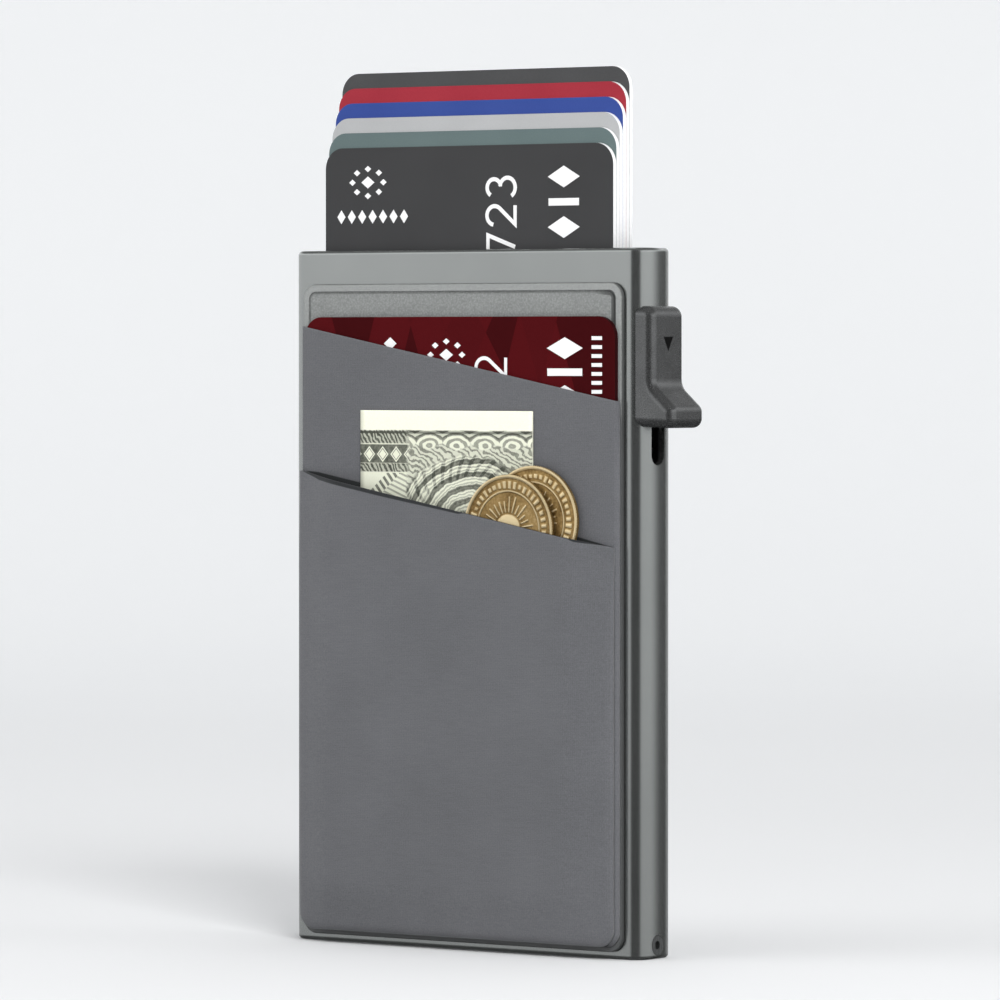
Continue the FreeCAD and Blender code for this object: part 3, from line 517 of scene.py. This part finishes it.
MATS = {
    "titanium_aluminium": m_aluminium(),
    "black_plastic": m_plastic("moulded_black", (0.010, 0.010, 0.011), (0.018, 0.018, 0.020), 0.5),
    "dark_steel": m_steel("blackened_steel", (0.13, 0.13, 0.135), 0.34),
    "slip_sheet": m_plastic("slip_sheet", (0.3, 0.3, 0.3), (0.36, 0.36, 0.36), 0.4),
    "felt": m_plastic("felt", (0.03, 0.03, 0.032), (0.055, 0.055, 0.06), 0.85, 5.0, 0.8),
    "spring_steel": m_steel("spring_steel", (0.035, 0.035, 0.037), 0.42),
    "slider_plastic": m_satin("slider_satin", (0.119, 0.121, 0.122), (0.181, 0.183, 0.184)),
    "lever_plastic": m_plastic("lever_plastic", (0.08, 0.08, 0.086), (0.11, 0.11, 0.118), 0.4),
    "adhesive": m_plastic("adhesive_sheet", (0.3, 0.3, 0.28), (0.36, 0.36, 0.34), 0.6),
    "leatherette": m_leather(),
    "stretch_fabric": m_fabric("stretch_knit"),
    "card_charcoal": m_card("card_charcoal", srgb(56, 56, 57), srgb(62, 62, 63)),
    "card_teal": m_card("card_teal", srgb(92, 108, 108), srgb(102, 118, 118)),
    "card_pale": m_card("card_pale", srgb(172, 173, 174), srgb(182, 183, 184)),
    "card_blue": m_card("card_blue", srgb(44, 68, 142), srgb(52, 76, 150)),
    "card_red": m_card("card_red", srgb(152, 34, 50), srgb(164, 44, 58)),
    "card_dark": m_card("card_dark", srgb(66, 66, 67), srgb(76, 76, 77)),
    "card_maroon": m_card_shards("card_maroon"),
    "note_paper": m_note(),
    "coin_gold": m_gold(-8.33),
}
M_SCREW = m_steel("bright_screw_steel", (0.40, 0.41, 0.41), 0.30)
# upper cloth: painted shade on the wall inside the lower pocket
M_UPPER = m_fabric("stretch_knit_upper", wall_painted_shade=True)
# lower cloth: a painted shade line along its mouth
M_LOWER = m_fabric("stretch_knit_lower", mouth_painted_shade=True)
M_PRINT = m_print()
M_MARK = m_plastic("black_paint", (0.003, 0.003, 0.003), (0.006, 0.006, 0.006), 0.8)
M_MARK.node_tree.nodes["Principled BSDF"].inputs["Specular IOR Level"].default_value = 0.12
# back coin: the same gold painted 13% lighter (k = 1.13), a painted highlight for the light it gets
M_GOLD_BACK = m_gold(-7.55, 1.13)
slot_of = {s["node"]: s["material_slot"] for s in frame["record"]["subparts"]}
for name, ob in frame["nodes"].items():
    ob.data.materials.clear()
    ob.data.materials.append(M_SCREW if name == "plug_screws" else MATS[slot_of[name]])

# ------------------------------------------------------------------ pieces
def new_object(name, bm, material, smooth=True):
    me = bpy.data.meshes.new(name)
    bmesh.ops.recalc_face_normals(bm, faces=bm.faces)
    bm.to_mesh(me)
    bm.free()
    me.materials.append(material)
    for p in me.polygons:
        p.use_smooth = smooth
    ob = bpy.data.objects.new(name, me)
    scene.collection.objects.link(ob)
    return ob


def smooth01(t):
    t = min(1.0, max(0.0, t))
    return t * t * (3 - 2 * t)


def rise(s, w1, h1, w2):
    """Height of a stretched skin at distance s from the edge it is bonded along: a tight roll, then a gentle taper."""
    t = min(1.0, max(0.0, s / w1))
    return h1 * math.sqrt(max(0.0, 1.0 - (1.0 - t) ** 2)) + (1.0 - h1) * smooth01(s / w2)


def spaced_edges(a, b, n, w, m):
    """Stations from a to b: m fine ones within w of each end, n between."""
    out = [a + w * (i / m) ** 1.6 for i in range(m)]
    out += [a + w + (b - a - 2 * w) * i / n for i in range(n)]
    out += [b - w * ((m - i) / m) ** 1.6 for i in range(m + 1)]
    return out


def cloth(name, x0, x1, z0, line, surf, thick, nx, nz, corner):
    """A closed sheet: front skin surf(x, z) in mm, a back skin behind it by the thickness that surf gives (thick is not
    used), rounded cut edges and bottom corners.
    """
    us = spaced_edges(x0, x1, nx, 1.4, 7)
    vs = [0.0 + 0.016 * (i / 7) ** 1.6 for i in range(7)] + [0.016 + (1 - 0.016 - 0.012) * i / nz for i in range(nz)] + [0.988, 0.992, 0.996, 0.9985, 1.0]
    bm = bmesh.new()
    front, behind = [], []
    for v in vs:
        rf, rb = [], []
        for u in us:
            top = mouth(line, u)
            # round the two bottom corners by lifting the foot near the sides
            s = min(u - x0, x1 - u)
            lift = corner - math.sqrt(max(0.0, corner ** 2 - max(0.0, corner - s) ** 2)) if s < corner else 0.0
            zb = z0 + lift
            z = zb + (top - zb) * v
            y, t = surf(u, z, top, u - x0, x1 - u, z - zb)
            # soften the cut edge at the mouth
            d_top = (1.0 - v) * (top - zb)
            e = 0.5 * t * (1.0 - math.sqrt(max(0.0, 1.0 - max(0.0, 1.0 - d_top / 0.16) ** 2))) if d_top < 0.16 else 0.0
            rf.append(bm.verts.new((u * MM, (y + e) * MM, z * MM)))
            rb.append(bm.verts.new((u * MM, (y + t - e) * MM, z * MM)))
        front.append(rf)
        behind.append(rb)
    nu, nv = len(us), len(vs)
    for j in range(nv - 1):
        for i in range(nu - 1):
            bm.faces.new((front[j][i], front[j][i + 1], front[j + 1][i + 1], front[j + 1][i]))
            bm.faces.new((behind[j][i], behind[j + 1][i], behind[j + 1][i + 1], behind[j][i + 1]))
    for j in range(nv - 1):
        bm.faces.new((front[j][0], front[j + 1][0], behind[j + 1][0], behind[j][0]))
        bm.faces.new((front[j][-1], behind[j][-1], behind[j + 1][-1], front[j + 1][-1]))
    for i in range(nu - 1):
        bm.faces.new((front[0][i], behind[0][i], behind[0][i + 1], front[0][i + 1]))
        bm.faces.new((front[-1][i], front[-1][i + 1], behind[-1][i + 1], behind[-1][i]))
    return bm


def upper_surf(x, z, top, dl, dr, df):
    """Front of the upper pocket: tight over the card, rolled down to the base panel at the sides."""
    k = rise(min(dl, dr), 0.42, 0.90, 2.5)
    kf = rise(df, 0.5, 0.8, 4.0)
    y = -5.56 - 0.87 * min(k, kf)
    return y, 0.34


def lower_surf(x, z, top, dl, dr, df):
    """Front of the lower pocket: full over the coins' and the note's way, gently tapered to its bonded edges."""
    near = smooth01((top - z) / 14.0)                      # 0 at the mouth, 1 well below it
    left = rise(dl, 1.3, 0.34 * near + 0.10, 9.0 - 1.5 * near)
    right = rise(dr, 1.3, 0.42 * near, 9.3 - 0.5 * near)
    foot = rise(df, 1.5, 0.55, 8.0)
    k = left * right * foot
    sag = 0.035 * math.sin(x * 0.21 + 0.6) * math.sin(z * 0.085 + 0.4) * smooth01(min(dl, dr, df) / 10.0)
    y = -6.80 - 2.0 * k - sag * 0.5
    return min(y, -6.80), 0.33


up = new_object("upper_pocket_cloth", cloth("upper", -29.4, 29.7, 1.75, MOUTH_UP, upper_surf, 0.34, 90, 120, 2.6), M_UPPER)
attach(up, "case"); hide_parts("upper_pocket_panel")
lo = new_object("lower_pocket_cloth", cloth("lower", -29.25, 29.5, 1.95, MOUTH_LO, lower_surf, 0.33, 110, 150, 2.6), M_LOWER)
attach(lo, "case"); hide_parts("lower_pocket_panel")


# ------------------------------------------------------------------ prints on the cards
def flat_shapes(name, shapes, y_front, proud, sink, body, material):
    """Closed outlines in X Z (mm), each given a thin body from y_front - proud to y_front + sink."""
    bm = bmesh.new()
    for order, outline in enumerate(shapes):
        if isinstance(outline, dict):                      # a stroke: a chain of small blocks between its two sides
            lft, rgt = outline["left"], outline["right"]
            quad = []
            for dy in (-proud - 0.0012 * (order % 7), sink):
                quad.append([[bm.verts.new((x * MM, (y_front + dy) * MM, z * MM)) for x, z in row] for row in (lft, rgt)])
            (fl, fr), (kl, kr) = quad
            for i in range(len(lft) - 1):
                bm.faces.new((fl[i], fl[i + 1], fr[i + 1], fr[i]))
                bm.faces.new((kl[i], kr[i], kr[i + 1], kl[i + 1]))
                bm.faces.new((fl[i], kl[i], kl[i + 1], fl[i + 1]))
                bm.faces.new((fr[i], fr[i + 1], kr[i + 1], kr[i]))
            bm.faces.new((fl[0], fr[0], kr[0], kl[0]))
            bm.faces.new((fl[-1], kl[-1], kr[-1], fr[-1]))
            continue
        a = [bm.verts.new((x * MM, (y_front - proud) * MM, z * MM)) for x, z in outline]
        c = [bm.verts.new((x * MM, (y_front + sink) * MM, z * MM)) for x, z in outline]
        bm.faces.new(a)
        bm.faces.new(c[::-1])
        n = len(outline)
        for i in range(n):
            bm.faces.new((a[i], a[(i + 1) % n], c[(i + 1) % n], c[i]))
    bmesh.ops.triangulate(bm, faces=[f for f in bm.faces if len(f.verts) > 4])
    ob = new_object(name, bm, material, smooth=False)
    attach(ob, body)
    return ob


def disc(cx, cz, r, n=28, sx=1.0):
    return [(cx + r * sx * math.cos(2 * math.pi * i / n), cz + r * math.sin(2 * math.pi * i / n)) for i in range(n)]


def bar(x0, z0, x1, z1, slant=0.0):
    return [(x0, z0), (x1, z0 + slant), (x1, z1 + slant), (x0, z1)]


def diamond(cx, cz, a, b):
    return [(cx - a, cz), (cx, cz - b), (cx + a, cz), (cx, cz + b)]


def stroke(points, w):
    """An outline of width w along a polyline, mitred."""
    P = [Vector(p) for p in points]
    lft, rgt = [], []
    for i, p in enumerate(P):
        d0 = (p - P[i - 1]).normalized() if i else (P[1] - p).normalized()
        d1 = (P[i + 1] - p).normalized() if i + 1 < len(P) else d0
        n0, n1 = Vector((-d0.y, d0.x)), Vector((-d1.y, d1.x))
        nn = (n0 + n1).normalized()
        k = w / 2 / max(0.45, nn.dot(n0))
        lft.append(p + nn * k)
        rgt.append(p - nn * k)
    return {"left": [(q.x, q.y) for q in lft], "right": [(q.x, q.y) for q in rgt]}


def arc(cx, cy, rx, ry, a0, a1, n=14):
    return [(cx + rx * math.cos(math.radians(a0 + (a1 - a0) * i / n)), cy + ry * math.sin(math.radians(a0 + (a1 - a0) * i / n))) for i in range(n + 1)]


# plain counting digits in a unit box 0..1 wide and 0..1.7 high, as strokes
DIGITS = {
    "2": [arc(0.5, 1.22, 0.46, 0.46, 170, -38, 14) + [(0.06, 0.0), (0.98, 0.0)]],
    "7": [[(0.04, 1.62), (0.94, 1.62), (0.36, 0.0)]],
    "1": [[(0.22, 1.36), (0.58, 1.64), (0.58, 0.0)]],
    "0": [arc(0.5, 0.84, 0.44, 0.82, 90, 450, 28)],
    "3": [arc(0.45, 1.26, 0.42, 0.41, 150, -80, 14), arc(0.45, 0.45, 0.48, 0.46, 82, -150, 16)],
}


def digits(text, x0, z0, height, width, gap, w, turned=True):
    """The digits stacked upwards and turned a quarter turn, as numbers embossed along a card are."""
    out = []
    z = z0
    for ch in text:
        for line in DIGITS[ch]:
            pts = []
            for u, v in line:
                # quarter turn anticlockwise: reading direction runs up the card
                pts.append((x0 + height * (1.0 - v / 1.7), z + width * u))
            out.append(stroke(pts, w))
        z += width + gap
    return out


def ornament(cx, cz, a, b):
    """A made-up mark: a diamond in a ring of eight small diamonds."""
    out = [diamond(cx, cz, a * 0.34, b * 0.36)]
    for i in range(8):
        t = math.radians(45 * i)
        out.append(diamond(cx + a * 0.80 * math.cos(t), cz + b * 0.80 * math.sin(t), a * 0.17, b * 0.19))
    return out


Y1 = -3.0
marks = ornament(-19.1, 115.3, 3.7, 2.55)
marks += [diamond(-24.2 + 2.0 * i, 110.1, 0.78, 1.05) for i in range(7)]
marks += digits("2723", 3.4, 99.9, 5.3, 3.05, 1.25, 0.62)
for k in range(5):
    z = 114.35 - 3.75 * k
    if z < 99:
        continue
    marks.append(diamond(17.7, z + 1.30, 2.95, 1.62) if k % 2 == 0 else bar(14.9, z + 0.75, 20.5, z + 1.85, 0.0))
flat_shapes("card_1_print", marks, Y1, 0.018, 0.01, "card_1", M_PRINT)

YP = -6.02
pm = ornament(-1.9, 89.2, 3.7, 2.5)
pm += [diamond(-12.5, 90.9, 1.2, 0.95)]
pm += digits("7332", 3.6, 74.4, 5.6, 3.05, 0.75, 0.55)
for k in range(5):
    z = 88.9 - 3.55 * k
    pm.append(diamond(20.1, z + 1.30, 3.3, 1.62) if k % 2 == 0 else bar(16.9, z + 0.75, 23.3, z + 1.85, 0.0))
pm += [bar(25.0, 91.4 - 1.32 * i, 26.9, 91.95 - 1.32 * i) for i in range(12)]
flat_shapes("pocket_card_print", pm, YP, 0.018, 0.01, "pocket_card", M_PRINT)

# the slider's pressed-in direction mark, painted black: a triangle pointing down the way it is pushed
bm = bmesh.new()
tri = [(-1.12, 91.82), (1.12, 91.82), (0.0, 89.80)]
a = [bm.verts.new((34.585 * MM, y * MM, z * MM)) for y, z in tri]
c = [bm.verts.new((34.29 * MM, y * MM, z * MM)) for y, z in tri]
bm.faces.new(a)
bm.faces.new(c[::-1])
for i in range(3):
    bm.faces.new((a[i], a[(i + 1) % 3], c[(i + 1) % 3], c[i]))
tri_ob = new_object("slider_direction_mark", bm, M_MARK, smooth=False)
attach(tri_ob, "slider")


# ------------------------------------------------------------------ coins
def coin(name, cx, cz, r, y0, y1, material, turn, seed):
    """Struck disc on a polar grid: rim, beads, a ring of short marks, an inner line and sun rays, on both faces."""
    rnd = random.Random(seed)
    tone = [rnd.uniform(0.6, 1.0) for _ in range(44)]
    length = [rnd.uniform(0.35, 1.0) for _ in range(44)]
    rays = [rnd.uniform(0.75, 1.0) for _ in range(28)]

    def relief(p, a):
        q = p / r
        h = 0.0
        if q > 0.955:
            return 0.17
        if q > 0.925:
            return 0.17 * smooth01((q - 0.925) / 0.03)
        if 0.735 < q < 0.885:                              # short raised marks round the border
            k = (a / (2 * math.pi) * 44) % 44
            i = int(k) % 44
            f = abs(k - int(k) - 0.5)
            if f < 0.36 and abs(q - 0.81) < 0.062 * length[i] + 0.012:
                h = 0.11 * tone[i] * smooth01((0.36 - f) / 0.14)
            if i % 11 == 5:
                h = 0.12 if (f < 0.34 and abs(q - 0.81) < 0.04) else 0.0
        if 0.690 < q < 0.722:                              # inner line
            h = 0.12
        if q < 0.67:                                       # rays round a domed sun over two waves
            k = (a / (2 * math.pi) * 28) % 28
            i = int(k) % 28
            f = abs(k - int(k) - 0.5)
            if 0.31 < q < 0.62 * rays[i] and f < 0.26 * (1.2 - q):
                h = max(h, 0.10 * smooth01((0.26 * (1.2 - q) - f) / 0.09))
            if q < 0.28:
                h = max(h, 0.05 + 0.11 * math.sqrt(max(0.0, 1 - (q / 0.28) ** 2)))
            x, z = q * math.cos(a), q * math.sin(a)
            for wz in (-0.30, -0.42, -0.54):
                d = abs(z - wz - 0.035 * math.sin(9 * x + wz * 20))
                if d < 0.030:
                    h = max(h, 0.12 * smooth01((0.030 - d) / 0.014))
        return h

    bm = bmesh.new()
    na, nr = 264, 72
    radii = [r * (i + 1) / nr for i in range(nr)]
    radii = [p for p in radii if p < r * 0.985] + [r * 0.988]
    faces = {}
    for side in (0, 1):
        rows = []
        for p in radii:
            row = []
            for i in range(na):
                a = 2 * math.pi * i / na
                h = relief(p, (a + turn) % (2 * math.pi))
                y = (y0 + 0.17 - h) if side == 0 else (y1 - 0.17 + h)
                row.append(bm.verts.new(((cx + p * math.cos(a)) * MM, y * MM, (cz + p * math.sin(a)) * MM)))
            rows.append(row)
        hc = relief(0.0, 0.0)
        mid = bm.verts.new((cx * MM, ((y0 + 0.17 - hc) if side == 0 else (y1 - 0.17 + hc)) * MM, cz * MM))
        for i in range(na):
            bm.faces.new((mid, rows[0][i], rows[0][(i + 1) % na]))
        for ra, rb in zip(rows, rows[1:]):
            for i in range(na):
                bm.faces.new((ra[i], rb[i], rb[(i + 1) % na], ra[(i + 1) % na]))
        faces[side] = rows[-1]
    # reeded edge
    ring = [faces[0]]
    for t in (0.12, 0.88):
        row = []
        for i in range(na):
            a = 2 * math.pi * i / na
            p = r - (0.05 if i % 2 else 0.0)
            row.append(bm.verts.new(((cx + p * math.cos(a)) * MM, (y0 + (y1 - y0) * t) * MM, (cz + p * math.sin(a)) * MM)))
        ring.append(row)
    ring.append(faces[1])
    for ra, rb in zip(ring, ring[1:]):
        for i in range(na):
            bm.faces.new((ra[i], ra[(i + 1) % na], rb[(i + 1) % na], rb[i]))
    ob = new_object(name + "_struck", bm, material)
    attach(ob, name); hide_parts(name)
    return ob


coin("coin_front", 11.25, 63.25, 8.2, -8.33, -7.61, MATS["coin_gold"], 0.4, 3)
coin("coin_back", 15.2, 64.6, 8.2, -7.55, -6.83, M_GOLD_BACK, 1.3, 8)


# ------------------------------------------------------------------ folded note
def note(name, x0, x1, z0, z1, y0, y1):
    """A paper note folded once along its top edge: two leaves, joined by a round fold, a little uneven at the foot."""
    t = 0.105
    ym = (y0 + y1) / 2
    rr = (y1 - y0) / 2
    prof = []
    nz = 64
    for i in range(nz + 1):
        z = z0 + (z1 - rr - z0) * i / nz
        prof.append((y0, z, 1))
    for i in range(1, 8):
        a = math.pi * i / 8
        prof.append((ym - rr * math.cos(a), z1 - rr + rr * math.sin(a), 0))
    for i in range(nz + 1):
        z = z1 - rr - (z1 - rr - z0 - 0.9) * i / nz
        prof.append((y1, z, -1))
    bm = bmesh.new()
    nx = 34
    outer, inner = [], []
    for k in range(nx + 1):
        x = x0 + (x1 - x0) * k / nx
        ro, ri = [], []
        for y, z, s in prof:
            wav = 0.012 * math.sin(x * 0.55 + z * 0.16) * smooth01((z1 - z) / 6.0)
            yo = y + (wav if s else 0.0)
            if s == 1:
                yi = yo + t
            elif s == -1:
                yi = yo - t
            else:
                yi = ym + (y - ym) * (1 - t / rr) if rr > t else ym
            zi = z if s else z1 - rr + (z - (z1 - rr)) * (1 - t / rr)
            ro.append(bm.verts.new((x * MM, yo * MM, z * MM)))
            ri.append(bm.verts.new((x * MM, yi * MM, zi * MM)))
        outer.append(ro)
        inner.append(ri)
    n = len(prof)
    for k in range(nx):
        for j in range(n - 1):
            bm.faces.new((outer[k][j], outer[k + 1][j], outer[k + 1][j + 1], outer[k][j + 1]))
            bm.faces.new((inner[k][j], inner[k][j + 1], inner[k + 1][j + 1], inner[k + 1][j]))
        bm.faces.new((outer[k][0], inner[k][0], inner[k + 1][0], outer[k + 1][0]))
        bm.faces.new((outer[k][-1], outer[k + 1][-1], inner[k + 1][-1], inner[k][-1]))
    for col in (0, nx):
        for j in range(n - 1):
            f = (outer[col][j], outer[col][j + 1], inner[col][j + 1], inner[col][j])
            bm.faces.new(f if col == 0 else f[::-1])
    ob = new_object(name + "_folded", bm, MATS["note_paper"])
    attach(ob, name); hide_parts(name)
    return ob


note("banknote", -17.63, 14.67, 18.85, 80.85, -6.75, -6.52)


# ------------------------------------------------------------------ floor, backdrop and light
def sweep_floor():
    """One smooth seamless sheet: floor, curve and wall."""
    bm = bmesh.new()
    prof = [(-3.0, 0.0), (-1.0, 0.0), (0.0, 0.0), (0.9, 0.0)]
    R = 0.9
    for k in range(1, 17):
        t = k / 16 * math.pi / 2
        prof.append((0.9 + R * math.sin(t), R - R * math.cos(t)))
    prof.append((0.9 + R, 4.0))
    fwd = Vector((-back.x, -back.y, 0)).normalized()
    side = Vector((fwd.y, -fwd.x, 0))
    rows = []
    for d, z in prof:
        rows.append([bm.verts.new(fwd * d + side * (-4 + 8 * i / 8) + Vector((0, 0, z))) for i in range(9)])
    for a, c in zip(rows, rows[1:]):
        for i in range(8):
            bm.faces.new((a[i], a[i + 1], c[i + 1], c[i]))
    me = bpy.data.meshes.new("studio_sweep")
    bmesh.ops.recalc_face_normals(bm, faces=bm.faces)
    bm.to_mesh(me)
    bm.free()
    for p in me.polygons:
        p.use_smooth = True
    ob = bpy.data.objects.new("studio_sweep", me)
    scene.collection.objects.link(ob)
    return ob


# ---- return spring: the same coil, copied as its own smooth-shaded mesh carried by the case; the real coil shortens by 6 mm as the slider is pressed, this copy stays as it is
s_node = frame["nodes"]["return_spring"]
coil = bpy.data.objects.new("return_spring_coil", s_node.data.copy())
scene.collection.objects.link(coil)
coil.matrix_world = s_node.matrix_world.copy()
for s_poly in coil.data.polygons:
    s_poly.use_smooth = True
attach(coil, "case"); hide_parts("return_spring")
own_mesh(coil)

floor = sweep_floor()
m, nt, b = mat("studio_paper")
v = coords(nt, (1, 1, 1))
nn = noise_tex(nt, v, 3.0, 2.0, 0.5)
L(nt, ramp(nt, nn, [(0.3, (0.745, 0.750, 0.758)), (0.7, (0.760, 0.765, 0.773))]), b.inputs["Base Color"])
b.inputs["Roughness"].default_value = 0.95
b.inputs["Specular IOR Level"].default_value = 0.1
floor.data.materials.append(m)
b.inputs["Emission Color"].default_value = (0.96, 0.98, 1.0, 1)
p = sep(nt, coords(nt, (1, 1, 1)))
depth = E(nt, p[0]) * (-back.x / math.hypot(back.x, back.y)) + E(nt, p[1]) * (-back.y / math.hypot(back.x, back.y))
L(nt, (depth.ramp(-0.05, 1.5) * 0.31 + 0.008).sock, b.inputs["Emission Strength"])
floor.visible_glossy = False

world = bpy.data.worlds.new("studio")
scene.world = world
world.use_nodes = True
wnt = world.node_tree
bg = wnt.nodes["Background"]
# a white studio: bright wall at the left front, a dark gap at the front, a bright wall at the right and behind
wtc = N(wnt, "ShaderNodeTexCoord")
wx, wy, wz = xyz(wnt, wtc.outputs["Generated"])
az = wx.atan2(wy * -1.0) * (180.0 / math.pi)          # 0 looks out of the front face, positive to the right
gap = az.ramp(-8.0, 2.0) * (1.0 - az.ramp(57.0, 67.0))
gap = gap * (1.0 - wz.ramp(0.60, 0.85))
side = az.ramp(112.0, 158.0) * (1.0 - wz.ramp(0.05, 0.45))   # falls off behind the right side
high = wz.ramp(-0.20, 0.16)
roof = 1.0 - wz.ramp(0.34, 0.62) * 0.85
ground = wz.ramp(-0.46, -0.16)
level = (1.0 - gap) * (0.24 + 0.76 * 1.0 * high) * (1.0 - side * 0.86) * roof * (0.25 + 0.75 * 1.0 * ground) + gap * 0.03
wcol = mix_col(wnt, level.min(1.0).sock, (0.0, 0.0, 0.0), (0.975, 0.99, 1.0))
L(wnt, wcol, bg.inputs["Color"])
bg.inputs["Strength"].default_value = 1.12


def area(name, loc, target, size_x, size_y, power, col=(1, 1, 1)):
    d = bpy.data.lights.new(name, "AREA")
    d.shape = "RECTANGLE"
    d.size, d.size_y = size_x, size_y
    d.energy = power
    d.color = col
    o = bpy.data.objects.new(name, d)
    scene.collection.objects.link(o)
    o.location = loc
    o.rotation_euler = (Vector(target) - Vector(loc)).to_track_quat("-Z", "Y").to_euler()
    return o


for light in (area("key_front_right", (0.80, -0.66, 0.78), (0, 0, 0.07), 0.40, 0.40, 11.0),
              area("fill_top_left", (-0.8, -0.9, 1.3), (0, 0, 0.09), 1.0, 1.0, 5),
              area("overhead", (0.1, -0.1, 1.7), (0, 0, 0.05), 1.5, 1.5, 10),
              area("rim_right", (1.1, 0.35, 0.5), (0.03, 0, 0.09), 0.35, 0.7, 1.5)):
    light.visible_glossy = False
